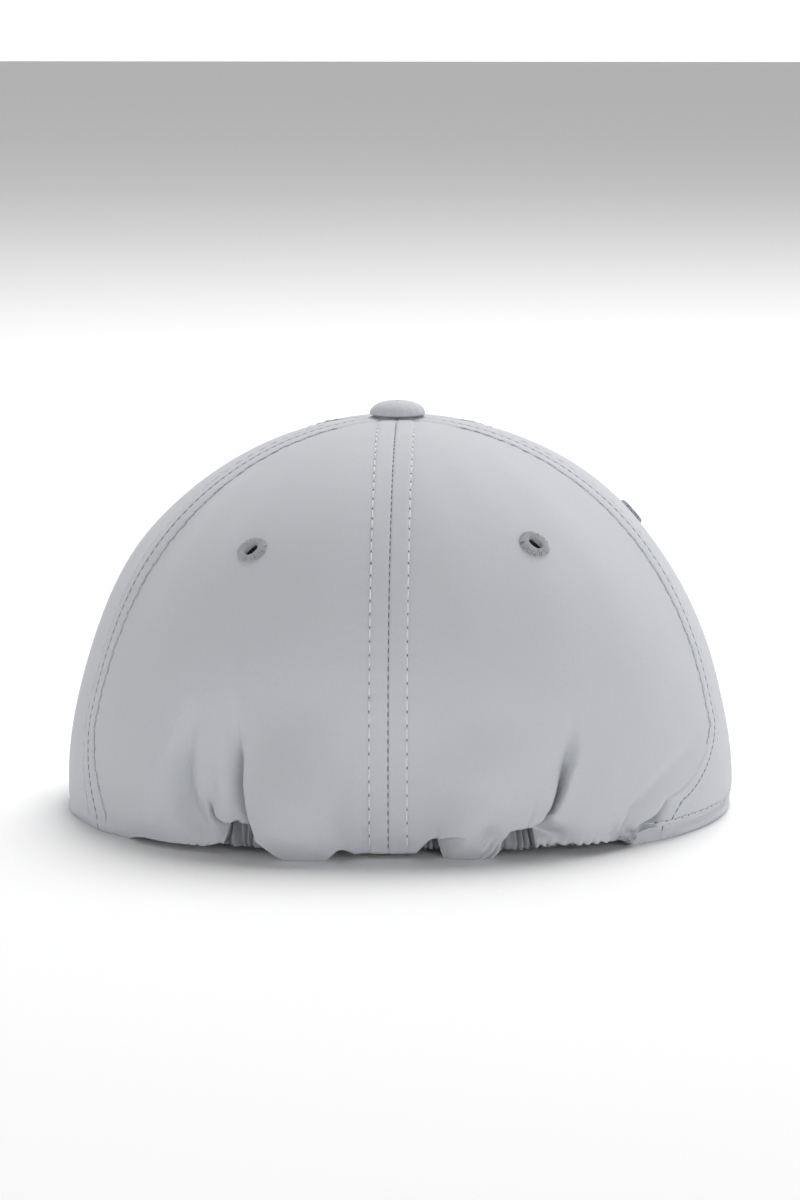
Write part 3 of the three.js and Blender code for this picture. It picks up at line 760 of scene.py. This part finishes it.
def dressed_crown(azimuth, station, seams):
    """Points of the crown with its seams' relief, and the outward directions."""
    azimuth, station = np.broadcast_arrays(np.asarray(azimuth, float), np.asarray(station, float))
    points = crown_surface(azimuth, station)
    normals = crown_normals(azimuth, station)
    radius = np.hypot(points[..., 0], points[..., 1])
    relief = slack(azimuth, station)
    for seam in seams:
        relief = relief + seam_relief(azimuth, station, radius, seam)
    points = points + normals * relief[..., None]
    points[..., 2] = np.maximum(points[..., 2], 0)
    return points, normals


def column_shares(start, end, fine):
    """Shares of a panel's width at which its columns of points lie, closer beside seams and folds."""
    t = np.linspace(0, 1, 4000)
    width = abs(end - start)
    spacing = np.full(t.shape, PLAIN_SPACING)
    if fine:
        azimuth = np.abs(mix(start, end, t))
        creased = (azimuth > CREASES_START) & (azimuth < CREASES_END)
        spacing = np.where(azimuth < GATHERS_END, GATHERED_SPACING, BACK_SPACING)
        spacing = np.where(creased, CREASED_SPACING, spacing)
    from_edge = np.minimum(t, 1 - t) * width
    spacing = np.where(from_edge < SEAM_BAND, np.minimum(spacing, SEAM_SPACING), spacing)
    spacing = np.where(from_edge < SEAM_EDGE, EDGE_SPACING, spacing)
    count = np.concatenate([[0], np.cumsum(np.diff(t) * width / spacing[1:])])
    return np.interp(np.linspace(0, count[-1], int(count[-1]) + 1), count, t)


def row_stations(fine):
    """Stations of a panel's rows of points, closer where the back is gathered."""
    rows = FINE_ROWS if fine else PLAIN_ROWS
    calm = np.linspace(0, CALM_STATION, CALM_ROWS)
    bulge = np.linspace(CALM_STATION, 1, rows["bulge"])[1:]
    lip = np.linspace(1, 2, rows["lip"])[1:]
    tuck = 2 + np.linspace(0, 1, TUCK_ROWS)[1:] ** 1.5
    return np.concatenate([calm, bulge, lip, tuck])


def with_area(points, faces):
    """The faces of a grid without those that the lip squeezes to nothing."""
    corners = points.reshape(-1, 3)[faces]
    area = np.linalg.norm(np.cross(corners[:, 2] - corners[:, 0], corners[:, 3] - corners[:, 1]), axis=1)
    return faces[area > LEAST_FACE_AREA]


def panel(name, material):
    """One sewn gore, turned in at its seams, open under its vent ring."""
    start, end, fine = (PANELS[name][key] for key in ("start", "end", "fine"))
    stations = row_stations(fine)
    first = seam_azimuth(start, stations)
    last = seam_azimuth(end, stations)
    shares = column_shares(first[0], last[0], fine)
    azimuth = first[:, None] + (last - first)[:, None] * shares[None, :]
    points, normals = dressed_crown(azimuth, stations[:, None], (start, end))
    uv = grid_lengths(points)
    turned_in = [points[:, :1] - normals[:, :1], points, points[:, -1:] - normals[:, -1:]]
    points = np.concatenate(turned_in, axis=1)
    uv = np.concatenate([uv[:, :1], uv, uv[:, -1:]], axis=1)
    faces = with_area(points, grid_faces(len(stations), len(shares) + 2))
    for row in EYELETS:
        centre, _ = crown_place(row["azimuth"], row["height"])
        middles = points.reshape(-1, 3)[faces].mean(axis=1)
        faces = faces[np.linalg.norm(middles - centre, axis=1) > EYELET_RADIUS - EYELET_CUT_INSET]
    make_piece(name + "_cloth", points, faces, uv, material, "crown_cloth", [name])


def crown_place(azimuth, height):
    """Point and outward direction at a height of the upper crown."""
    stations = np.linspace(0, 1, 2000)
    heights = crown_surface(azimuth, stations)[:, 2]
    station = np.interp(-height, -heights, stations)
    return crown_surface(azimuth, station), crown_normals(azimuth, station)


# Thread

def thread_tubes(centres, normals, radii):
    """Tubes of thread along rows of centres (tube, ring, 3)."""
    along = np.gradient(centres, axis=1)
    along /= np.linalg.norm(along, axis=-1, keepdims=True)
    side = np.cross(normals, along)
    side /= np.linalg.norm(side, axis=-1, keepdims=True)
    up = np.cross(along, side)
    angle = np.arange(THREAD_SIDES) * math.tau / THREAD_SIDES
    ring = side[:, :, None] * np.cos(angle)[:, None] + up[:, :, None] * np.sin(angle)[:, None]
    points = centres[:, :, None] + ring * radii[..., None, None]
    tubes, rings = centres.shape[:2]
    faces = grid_faces(rings, THREAD_SIDES, closed=True)[:, ::-1]
    starts = np.arange(tubes) * rings * THREAD_SIDES
    faces = (faces[None] + starts[:, None, None]).reshape(-1, 4)
    steps = np.linalg.norm(np.diff(centres, axis=1), axis=-1)
    length = np.pad(np.cumsum(steps, axis=1), ((0, 0), (1, 0)))
    uv = np.stack(np.broadcast_arrays(angle / math.tau, length[:, :, None]), -1)
    return points.reshape(-1, 3), faces, uv


def stitch_starts(path, pitch, length):
    """How far along a path each of its points lies, and where the stitches of a row on it start."""
    along = lengths_along(path)
    count = max(int((along[-1] - length) / pitch), 1)
    return along, pitch / 3 + np.arange(count) * pitch


def read_along(at, along, values):
    """Points or directions of a path, read at other lengths along it."""
    return np.stack([np.interp(at, along, values[:, k]) for k in range(3)], -1)


def stitches(path, normals, pitch=TOPSTITCH_PITCH, length=TOPSTITCH_LENGTH, radius=THREAD_RADIUS):
    """A row of stitches along a path on the cloth, each with its ends pulled into it."""
    along, starts = stitch_starts(path, pitch, length)
    at = starts[:, None] + THREAD_SHARES[None, :] * length
    facing = read_along(at, along, normals)
    centres = read_along(at, along, path) + facing * (radius * THREAD_RISE)[None, :, None]
    return thread_tubes(centres, facing, radius * np.broadcast_to(THREAD_TAPER, at.shape))


def needle_holes(path, normals):
    """Small dark discs of painted shade at the needle holes between the stitches of a row."""
    along, starts = stitch_starts(path, TOPSTITCH_PITCH, TOPSTITCH_LENGTH)
    at = starts - (TOPSTITCH_PITCH - TOPSTITCH_LENGTH) / 2
    centres = read_along(at, along, path)
    facing = read_along(at, along, normals)
    ahead = read_along(at + 0.2, along, path) - centres
    ahead /= np.linalg.norm(ahead, axis=1, keepdims=True)
    side = np.cross(facing, ahead)
    angle = np.arange(NEEDLE_HOLE_SIDES) * math.tau / NEEDLE_HOLE_SIDES
    rim = ahead[:, None] * np.cos(angle)[:, None] * NEEDLE_HOLE_LENGTH / 2
    rim = rim + side[:, None] * np.sin(angle)[:, None] * NEEDLE_HOLE_WIDTH / 2
    points = centres[:, None] + facing[:, None] * NEEDLE_HOLE_RISE + rim
    faces = np.arange(len(at) * NEEDLE_HOLE_SIDES).reshape(-1, NEEDLE_HOLE_SIDES)
    circle = np.stack([np.cos(angle), np.sin(angle)], -1)
    return points.reshape(-1, 3), faces, np.broadcast_to(circle, (len(at), *circle.shape))


def seam_path(seam, aside, stations):
    """A line down the crown beside a seam, aside mm towards positive azimuths."""
    azimuth = seam_azimuth(seam, stations)
    radius = np.hypot(*np.moveaxis(crown_surface(azimuth, stations)[:, :2], -1, 0))
    azimuth = azimuth + np.degrees(aside / np.maximum(radius, abs(aside) + 0.1))
    path, normals = dressed_crown(azimuth, stations, (seam,))
    on_cloth = np.linalg.norm(normals, axis=1) > 0.5
    return path[on_cloth], normals[on_cloth]


def seam_stitches(thread, side_thread, thread_in_painted_shade, pit):
    """The topstitch rows beside each crown seam, with their needle holes as dark discs of painted shade, and
    the seam's own stitches, darkened as painted shade of the ditch.
    """
    centre_rows, side_rows, holes, ditch = [], [], [], []
    for seam in (0, LEFT_BACK_SEAM, RIGHT_BACK_SEAM, SIDE_FRONT_SEAM, -SIDE_FRONT_SEAM):
        for aside in (-TOPSTITCH_APART, TOPSTITCH_APART):
            last = RIGHT_BACK_ROWS_END if seam is RIGHT_BACK_SEAM else ROWS_END
            stations = np.linspace(ROWS_START, last, PATH_POINTS)
            path, normals = seam_path(seam, aside, stations)
            rows = centre_rows if seam == 0 else side_rows
            rows.append(stitches(path, normals))
            holes.append(needle_holes(path, normals))
        path, normals = seam_path(seam, 0.0, np.linspace(DITCH_START, ROWS_END, PATH_POINTS))
        ditch.append(stitches(path, normals, DITCH_PITCH, DITCH_LENGTH, DITCH_THREAD_RADIUS))
    make_piece("centre_seam_topstitching", *joined(centre_rows), thread, "thread")
    make_piece("side_seam_topstitching", *joined(side_rows), side_thread, "thread")
    make_piece("seam_needle_holes", *joined(holes), pit, "thread")
    make_piece("seam_ditch_stitches", *joined(ditch), thread_in_painted_shade, "thread")


def hem_stitches(thread, pit):
    """The hem's row of stitches round the sides and the front, above the sweatband."""
    rows, holes = [], []
    gap = HEM_ROW_GAP
    for start, end, seams in (
        (LEFT_HEM_ROW_START, SIDE_FRONT_SEAM - gap, (LEFT_BACK_SEAM, SIDE_FRONT_SEAM)),
        (SIDE_FRONT_SEAM + gap, FRONT_END - gap, (SIDE_FRONT_SEAM, FRONT_END)),
        (gap - SIDE_FRONT_SEAM, ELASTIC_BLEND - ELASTIC_END, (-SIDE_FRONT_SEAM, RIGHT_BACK_SEAM)),
    ):
        azimuth = np.linspace(start, end, ROUND_PATH_POINTS)
        lip = np.maximum(hem_height(azimuth), 0)
        stations = np.linspace(1, 2, 400)
        heights = crown_surface(azimuth[:, None], stations[None, :])[..., 2]
        wanted = lip + HEM_STITCH_HEIGHT
        station = np.array([np.interp(-w, -h, stations) for w, h in zip(wanted, heights)])
        path, normals = dressed_crown(azimuth, station, seams)
        rows.append(stitches(path, normals))
        holes.append(needle_holes(path, normals))
    make_piece("hem_topstitching", *joined(rows), thread, "thread")
    make_piece("hem_needle_holes", *joined(holes), pit, "thread")


# Button, vent rings, bands and peak

def button(material):
    """Cloth-covered button, its cover gathered a little at the rim."""
    turn = np.arange(BUTTON_COLUMNS) * math.tau / BUTTON_COLUMNS
    base = CROWN_HEIGHT - FLATTENED + FIT_GAP
    quarter = math.pi / 2
    angle = np.concatenate([np.linspace(0.02, quarter, 26), quarter + np.linspace(0.1, 1.2, 7)])
    radius = BUTTON_RADIUS * np.abs(np.sin(angle)) ** 0.78
    domed = BUTTON_RISE * np.abs(np.cos(angle)) ** 1.05
    height = BUTTON_RIM_HEIGHT + np.where(angle < quarter, domed, BUTTON_UNDER * np.cos(angle))
    gathers = BUTTON_GATHER * np.sin(turn * BUTTON_GATHERS + 0.8 * np.sin(turn * 3))
    gathers = gathers + 0.06 * np.sin(turn * 29 + 2)
    share = ramp(radius, 4.5, BUTTON_RADIUS)
    spread = radius[:, None] + gathers[None, :] * share[:, None]
    points = turned(turn, spread, (base + height)[:, None])
    closed = np.concatenate([points, points[:, :1]], axis=1)
    faces = grid_faces(len(angle), BUTTON_COLUMNS + 1)
    uv = closed[..., :2].copy()
    make_piece("button_cover", closed, faces, uv, material, "crown_cloth", ["top_button"])


def eyelet(row, thread, core_painted_shade, hole_painted_shade):
    """Embroidered vent ring: threads over a padded core dark with painted shade, round a hole that is a
    near-black sheet of painted shade.
    """
    centre, outward = crown_place(row["azimuth"], row["height"])
    east = np.cross([0, 0, 1], outward)
    east /= np.linalg.norm(east)
    up = np.cross(outward, east)
    rng = np.random.default_rng(int(abs(row["azimuth"]) * 10))
    wander = rng.uniform(-EYELET_THREAD_SPREAD, EYELET_THREAD_SPREAD, EYELET_THREADS)
    turn = (np.arange(EYELET_THREADS) + wander) * math.tau / EYELET_THREADS
    shares = np.linspace(0, 1, 8)
    outer = EYELET_RADIUS + rng.uniform(-0.3, 0.2, EYELET_THREADS)
    tilt = np.sign(row["azimuth"]) * EYELET_HOLE_TILT
    hole = EYELET_HOLE_RADIUS * (1 + EYELET_HOLE_STRETCH * np.cos(2 * turn - tilt))
    reach = mix(outer[:, None], hole[:, None], shares[None, :])
    rise = 0.1 + 0.55 * np.sin(shares * math.pi) ** 0.6
    rise[0] = -0.3
    rise[-1] = -0.7
    spoke = east * np.cos(turn)[:, None] + up * np.sin(turn)[:, None] * EYELET_SQUASH
    centres = centre + spoke[:, None] * reach[..., None] + outward * rise[None, :, None]
    radii = np.broadcast_to(mix(0.3, 0.17, shares), reach.shape)
    threads = thread_tubes(centres, np.broadcast_to(outward, centres.shape), radii)
    make_piece(row["node"] + "_threads", *threads, thread, "thread", [row["node"]])
    ring = np.linspace(0, math.tau, EYELET_COLUMNS)
    around = east * np.cos(ring)[:, None] + up * np.sin(ring)[:, None] * EYELET_SQUASH
    inner_parts = (("_core", EYELET_CORE, core_painted_shade), ("_hole", EYELET_HOLE, hole_painted_shade))
    for part, profile, material in inner_parts:
        radii = np.array(profile["radii"])[:, None, None]
        rises = np.array(profile["rises"])[:, None, None]
        points = centre + around[None] * radii + outward * rises
        faces = grid_faces(len(radii), EYELET_COLUMNS)
        make_piece(row["node"] + part, points, faces, grid_lengths(points), material, "thread")


def elastic_casing(material):
    """Ruched band inside the back hem, its pleats fanned where the lip lifts."""
    azimuth = np.linspace(ELASTIC_END, -ELASTIC_END, RUCHE_COLUMNS)
    height = np.concatenate([np.linspace(RUCHE_TOP, 2.5, RUCHE_ROWS), [2.1, 1.8, RUCHE_FOOT]])
    a, z = np.meshgrid(azimuth, height)
    at = a
    for row in RUCHE_FANS:
        beside = a - row["azimuth"]
        share = np.exp(-((beside / row["half_width"]) ** 2))
        at = at - (row["spread"] * beside + row["lean"]) * share * z
    wander = 0.9 * np.sin(at * 0.7) + 0.6 * np.sin(at * 1.9 + 1) + 0.3 * np.sin(z * 0.45 + at * 1.4)
    ridge = np.abs(np.sin(math.pi * at / RUCHE_PITCH + wander)) ** RUCHE_FINENESS
    depth = RUCHE_DEPTH * (0.8 + 0.3 * np.sin(at * 1.3 + 2)) * (1 - 0.3 * ramp(z, 12, RUCHE_TOP))
    open_share = np.clip((lip_height(a) - hem_height(a)) / 9, 0, 1)
    swell = np.where(a < 0, RUCHE_SWELL, POCKET_SWELL) * open_share * (1 - ramp(z, 2, 10))
    foot = -1.4 * (1 - ramp(z, 1.4, 3)) * (1 - 0.6 * ridge)
    radius = section(a, "band_radius") - CASING_INSET + depth * (ridge - 0.45) + swell + foot
    points = turned(np.radians(a), radius, z)
    faces = grid_faces(len(height), len(azimuth))[:, ::-1]
    uv = grid_lengths(points)
    make_piece("elastic_casing", points, faces, uv, material, "elastic_cloth", ["elastic_band"])


def inner_band(material, thread):
    """Plain sweatband, with rounded edges and rows of stitches near its foot and its top."""
    first = ELASTIC_END + BAND_END_GAP
    azimuth = np.linspace(first, 360 - first, BAND_COLUMNS)
    folded = np.minimum(azimuth, 360 - azimuth)
    settled = np.maximum(hem_height(folded) - FLATTENED, 0)
    bottom = np.maximum(settled - 2, 0.5)
    top = settled + BAND_HEIGHT
    face = np.linspace(0, 1, BAND_ROWS)
    level = np.zeros(BAND_ROWS)
    rounding = BAND_THICKNESS * np.array([0.25, 0.75])
    down = np.concatenate([face, [1, 1], face[::-1], [0, 0]])
    inset = np.concatenate([level, rounding, level + BAND_THICKNESS, rounding[::-1]])
    edge = np.concatenate([level, [-BAND_EDGE] * 2, level, [BAND_EDGE] * 2])
    rim = section(folded, "band_radius")[None] - BAND_SLANT * (1 - down)[:, None] - inset[:, None]
    z = mix(top[None], bottom[None], down[:, None]) + edge[:, None]
    points = turned(np.radians(azimuth), rim, z)
    points = np.concatenate([points, points[:1]])
    faces = grid_faces(len(points), BAND_COLUMNS)
    uv = grid_lengths(points)
    make_piece("sweatband_cloth", points, faces, uv, material, "band_cloth", ["sweatband"])
    inner = section(folded, "band_radius") - BAND_THICKNESS
    for name, above in BAND_STITCH_HEIGHTS.items():
        lean = BAND_SLANT * (above / BAND_HEIGHT)
        path = turned(np.radians(azimuth), inner - lean - 0.05, bottom + above)
        normals = path * [-1, -1, 0]
        normals /= np.linalg.norm(normals, axis=1, keepdims=True)
        make_piece("sweatband_" + name + "_stitches", *stitches(path, normals), thread, "thread")


def peak_edge(angle):
    """Outer edge of the peak at an angle from straight ahead."""
    across = np.abs(np.sin(angle)) / PEAK_HALF_WIDTH
    ahead = np.abs(np.cos(angle)) / (PEAK_TIP - PEAK_CENTRE)
    reach = (across ** PEAK_OUTLINE_POWER + ahead ** PEAK_OUTLINE_POWER) ** (-1 / PEAK_OUTLINE_POWER)
    return np.stack([reach * np.sin(angle), -PEAK_CENTRE - reach * np.cos(angle)], -1)


def peak_plan(share, along):
    """Places on the peak: share 0 at the crown to 1 at the edge, along 0 on the wearer's left to 1."""
    azimuth = mix(PEAK_END, 360 - PEAK_END, along)
    root = section(azimuth, "band_radius") + FIT_GAP
    start = np.stack([root * np.sin(np.radians(azimuth)), root * np.cos(np.radians(azimuth))], -1)
    edge = peak_edge(np.radians(mix(PEAK_SWEEP, -PEAK_SWEEP, along)))
    return mix(start, edge, np.asarray(share)[..., None])


def peak(material, thread):
    """Arched peak: a top and an under cloth over a stiff board, sewn with rows that follow its edge."""
    over = np.linspace(0, PEAK_EDGE_START, PEAK_TOP_ROWS)
    under = np.linspace(PEAK_EDGE_START, 0, PEAK_UNDER_ROWS)
    profile_share = np.concatenate([over, [0.994, 0.999, 1, 0.999, 0.994], under])
    lower = np.full(PEAK_UNDER_ROWS, PEAK_THICKNESS)
    profile_depth = np.concatenate([np.zeros(PEAK_TOP_ROWS), [0.25, 0.8, 1.5, 2.2, 2.75], lower])
    share, across = np.meshgrid(profile_share, np.linspace(0, 1, PEAK_COLUMNS), indexing="ij")
    plan = peak_plan(share, across)
    depth = np.broadcast_to(profile_depth[:, None], share.shape)
    groove = np.zeros(share.shape)
    row_shares = PEAK_FIRST_ROW - PEAK_ROW_STEP * np.arange(PEAK_ROWS)
    for row_share in row_shares:
        groove += np.exp(-(((share - row_share) / PEAK_GROOVE_HALF_WIDTH) ** 2))
    top = peak_top(plan[..., 0], plan[..., 1]) - FLATTENED
    soft = np.where(depth < 0.1, -PEAK_GROOVE * groove, 0)
    z = np.maximum(top - depth + soft, 0.02)
    points = np.concatenate([plan, z[..., None]], -1)
    faces = grid_faces(*share.shape)[:, ::-1]
    make_piece("peak_cloth", points, faces, grid_lengths(points), material, "peak_cloth", ["peak"])
    rows = []
    fine = np.linspace(0.03, 0.97, ROUND_PATH_POINTS)
    for row_share in row_shares:
        place = peak_plan(np.full(fine.shape, row_share), fine)
        height = peak_top(place[:, 0], place[:, 1]) - FLATTENED - 0.1
        path = np.concatenate([place, height[:, None]], -1)
        normals = np.broadcast_to(np.array([0.0, 0.0, 1.0]), path.shape)
        rows.append(stitches(path, normals))
    make_piece("peak_stitches", *joined(rows), thread, "thread")


# Materials

def add_node(tree, kind, settings=None, inputs=None):
    """A shader node with its settings, and values or links on its sockets."""
    item = tree.nodes.new(kind)
    for key, value in (settings or {}).items():
        setattr(item, key, value)
    for key, value in (inputs or {}).items():
        if isinstance(value, bpy.types.NodeSocket):
            tree.links.new(value, item.inputs[key])
        else:
            item.inputs[key].default_value = value
    return item


def new_group(name, inputs, outputs):
    """A shader node group, with its two end nodes."""
    group = bpy.data.node_groups.new(name, "ShaderNodeTree")
    for label, value in inputs.items():
        socket = group.interface.new_socket(label, in_out="INPUT", socket_type="NodeSocketFloat")
        socket.default_value = value
    for label in outputs:
        group.interface.new_socket(label, in_out="OUTPUT", socket_type="NodeSocketFloat")
    return group, group.nodes.new("NodeGroupInput"), group.nodes.new("NodeGroupOutput")


def math_node(tree, operation, first, second):
    """The result of one sum on two values or links."""
    return add_node(tree, "ShaderNodeMath", {"operation": operation}, {0: first, 1: second}).outputs[0]


def weave_group():
    """Plain weave: yarns over and under, a little uneven. Its places are in mm of cloth."""
    group, given, result = new_group("weave", {"Pitch": YARN_PITCH}, ["Height", "Shade"])
    place = group.nodes.new("ShaderNodeUVMap")
    place.uv_map = "cloth"
    split = add_node(group, "ShaderNodeSeparateXYZ", None, {0: place.outputs[0]})
    turns = math_node(group, "DIVIDE", math.pi, given.outputs["Pitch"])
    warp = math_node(group, "SINE", math_node(group, "MULTIPLY", split.outputs[0], turns), 0.0)
    weft = math_node(group, "SINE", math_node(group, "MULTIPLY", split.outputs[1], turns), 0.0)
    crossing = math_node(group, "MULTIPLY", warp, weft)
    uneven = add_node(group, "ShaderNodeTexNoise", None,
                      {"Vector": place.outputs[0], "Scale": 0.9, "Detail": 4.0})
    height = math_node(group, "ADD", crossing, uneven.outputs[0])
    group.links.new(height, result.inputs["Height"])
    group.links.new(uneven.outputs[0], result.inputs["Shade"])


def crinkle_group():
    """Fine crinkles of thin cloth and slow changes of tone. Its places are in metres."""
    group, given, result = new_group("crinkle", {"Scale": CRINKLE_SCALE}, ["Height", "Tone"])
    place = group.nodes.new("ShaderNodeTexCoord")
    ridges = add_node(group, "ShaderNodeTexNoise", {"noise_type": "RIDGED_MULTIFRACTAL"},
                      {"Vector": place.outputs["Object"], "Scale": given.outputs["Scale"], "Detail": 3.0,
                       "Distortion": 0.6})
    tone = add_node(group, "ShaderNodeTexNoise", None,
                    {"Vector": place.outputs["Object"], "Scale": TONE_SCALE, "Detail": 3.0})
    group.links.new(ridges.outputs[0], result.inputs["Height"])
    group.links.new(tone.outputs[0], result.inputs["Tone"])


def new_material(name):
    """A material with its node tree and its surface node."""
    material = bpy.data.materials.new(name)
    material.use_nodes = True
    return material, material.node_tree, material.node_tree.nodes["Principled BSDF"]


def cloth_material(name, colour, crinkles, pitch=YARN_PITCH, relief=FINE_WEAVE, roughness=CLOTH_ROUGHNESS):
    """Matt woven cloth. The depth of its crinkles and the relief of its weave are in metres."""
    material, tree, surface = new_material(name)
    yarn = add_node(tree, "ShaderNodeGroup", {"node_tree": bpy.data.node_groups["weave"]}, {"Pitch": pitch})
    slack_folds = add_node(tree, "ShaderNodeGroup", {"node_tree": bpy.data.node_groups["crinkle"]},
                           {"Scale": CRINKLE_SCALE})
    tone = add_node(tree, "ShaderNodeMapRange", None,
                    {"Value": slack_folds.outputs["Tone"], "To Min": 0.94, "To Max": 1.05})
    grain = add_node(tree, "ShaderNodeMapRange", None,
                     {"Value": yarn.outputs["Shade"], "To Min": 0.96, "To Max": 1.04})
    shade = math_node(tree, "MULTIPLY", tone.outputs[0], grain.outputs[0])
    tint = add_node(tree, "ShaderNodeVectorMath", {"operation": "SCALE"}, {0: colour, "Scale": shade})
    tree.links.new(tint.outputs[0], surface.inputs["Base Color"])
    bump = add_node(tree, "ShaderNodeBump", None,
                    {"Strength": 1.0, "Distance": crinkles, "Height": slack_folds.outputs["Height"]})
    fine = add_node(tree, "ShaderNodeBump", None,
                    {"Strength": 1.0, "Distance": relief, "Height": yarn.outputs["Height"],
                     "Normal": bump.outputs[0]})
    tree.links.new(fine.outputs[0], surface.inputs["Normal"])
    low, high = roughness - 0.06, roughness + 0.06
    rough = add_node(tree, "ShaderNodeMapRange", None,
                     {"Value": yarn.outputs["Shade"], "To Min": low, "To Max": high})
    tree.links.new(rough.outputs[0], surface.inputs["Roughness"])
    surface.inputs["Specular IOR Level"].default_value = 0.35
    surface.inputs["Sheen Weight"].default_value = 0.08
    return material


def thread_material(name, colour):
    """Twisted thread."""
    material, tree, surface = new_material(name)
    place = tree.nodes.new("ShaderNodeUVMap")
    place.uv_map = "cloth"
    twist = add_node(tree, "ShaderNodeTexWave", {"bands_direction": "DIAGONAL"},
                     {"Vector": place.outputs[0], "Scale": 3.0, "Distortion": 0.6})
    tone = add_node(tree, "ShaderNodeMapRange", None,
                    {"Value": twist.outputs["Fac"], "To Min": 0.85, "To Max": 1.08})
    tint = add_node(tree, "ShaderNodeVectorMath", {"operation": "SCALE"},
                    {0: colour, "Scale": tone.outputs[0]})
    tree.links.new(tint.outputs[0], surface.inputs["Base Color"])
    bump = add_node(tree, "ShaderNodeBump", None,
                    {"Strength": 1.0, "Distance": THREAD_TWIST, "Height": twist.outputs["Fac"]})
    tree.links.new(bump.outputs[0], surface.inputs["Normal"])
    surface.inputs["Roughness"].default_value = THREAD_ROUGHNESS
    return material


def floor_material():
    """Matt pale paper."""
    material, _, surface = new_material("pale floor")
    surface.inputs["Base Color"].default_value = (*FLOOR_COLOUR, 1)
    surface.inputs["Roughness"].default_value = 0.9
    surface.inputs["Specular IOR Level"].default_value = 0.1
    return material


# Stage, light and camera

def floor_and_world():
    """The white floor, and the light of the room round it."""
    size = FLOOR_HALF_SIZE
    corners = [(-size, -size, 0), (size, -size, 0), (size, size, 0), (-size, size, 0)]
    mesh = bpy.data.meshes.new("floor")
    mesh.from_pydata(corners, [], [(0, 1, 2, 3)])
    mesh.materials.append(floor_material())
    floor = bpy.data.objects.new("floor", mesh)
    bpy.context.scene.collection.objects.link(floor)
    world = bpy.data.worlds.new("white studio")
    world.use_nodes = True
    tree = world.node_tree
    direction = tree.nodes.new("ShaderNodeTexCoord").outputs["Generated"]
    split = add_node(tree, "ShaderNodeSeparateXYZ", None, {0: direction})
    room = add_node(tree, "ShaderNodeMapRange", {"interpolation_type": "SMOOTHSTEP"},
                    {"Value": split.outputs["Z"], "From Min": 0.0, "From Max": HORIZON_BAND,
                     "To Min": ROOM_STRENGTH, "To Max": CEILING_STRENGTH})
    strength = add_node(tree, "ShaderNodeMapRange", {"interpolation_type": "SMOOTHSTEP"},
                        {"Value": split.outputs["Y"], "From Min": BACKDROP_END, "From Max": 0.0,
                         "To Min": BACKDROP_STRENGTH, "To Max": room.outputs[0]})
    background = tree.nodes["Background"]
    background.inputs["Color"].default_value = (1, 1, 1, 1)
    tree.links.new(strength.outputs[0], background.inputs["Strength"])
    bpy.context.scene.world = world


def soft_light(name, place, size, power):
    """Square soft light that faces the cap."""
    light = bpy.data.lights.new(name, "AREA")
    light.size = size
    light.energy = power
    lamp = bpy.data.objects.new(name, light)
    lamp.location = CROWN_AXIS + Vector(place)
    lamp.rotation_euler = (-Vector(place)).to_track_quat("-Z", "Y").to_euler()
    bpy.context.scene.collection.objects.link(lamp)


def rear_camera():
    """The camera behind the cap, a little above it."""
    turn = math.radians(VIEW_TURN)
    rise = math.radians(VIEW_RISE)
    back = Vector((-math.sin(turn) * math.cos(rise), math.cos(turn) * math.cos(rise), math.sin(rise)))
    aside = Vector((-math.cos(turn), -math.sin(turn), 0)) * VIEW_ASIDE
    target = CROWN_AXIS + (aside + Vector((0, 0, VIEW_HEIGHT))) * MM
    lens = bpy.data.cameras.new("rear camera")
    lens.lens = LENS
    lens.clip_end = 20
    camera = bpy.data.objects.new("rear camera", lens)
    camera.location = target + back * VIEW_DISTANCE * MM
    camera.rotation_euler = (-back).to_track_quat("-Z", "Y").to_euler()
    bpy.context.scene.collection.objects.link(camera)
    bpy.context.scene.camera = camera


# The dressed cap

weave_group()
crinkle_group()
crown_cloth = cloth_material("pale grey nylon", CLOTH_COLOUR, crinkles=0.0002)
# The casing's cloth is darker by painted shade
casing_cloth_painted_shade = cloth_material("ruched nylon in painted shade", CASING_PAINTED_SHADE_COLOUR, crinkles=0.0003)
band_cloth = cloth_material("sweatband cloth", CLOTH_COLOUR, crinkles=0.0002, pitch=BAND_YARN_PITCH,
                            relief=COARSE_WEAVE, roughness=BAND_ROUGHNESS)
peak_cloth = cloth_material("peak nylon", CLOTH_COLOUR, crinkles=0.00015)
light_thread = thread_material("light thread", THREAD_COLOUR)
side_thread = thread_material("side seam thread", SIDE_THREAD_COLOUR)
# Ditch stitches and eyelet cores in painted shade
thread_in_painted_shade = thread_material("seam thread in shade", DITCH_PAINTED_SHADE_COLOUR)
vent_thread = thread_material("vent ring thread", VENT_THREAD_COLOUR)
# Near-black painted shade in the vent holes
vent_hole_painted_shade = cloth_material("vent hole painted shade", VENT_HOLE_PAINTED_SHADE_COLOUR, crinkles=0.0001)
# Dark painted shade in the needle holes
needle_hole_painted_shade = cloth_material("needle holes", NEEDLE_HOLE_PAINTED_SHADE_COLOUR, crinkles=0.0001)

for panel_name in PANELS:
    panel(panel_name, crown_cloth)
seam_stitches(light_thread, side_thread, thread_in_painted_shade, needle_hole_painted_shade)
hem_stitches(side_thread, needle_hole_painted_shade)
button(crown_cloth)
for vent in EYELETS:
    eyelet(vent, vent_thread, thread_in_painted_shade, vent_hole_painted_shade)
elastic_casing(casing_cloth_painted_shade)
inner_band(band_cloth, light_thread)
peak(peak_cloth, light_thread)

floor_and_world()
for row in LIGHTS:
    soft_light(**row)
rear_camera()
bpy.context.scene.view_settings.view_transform = "Standard"
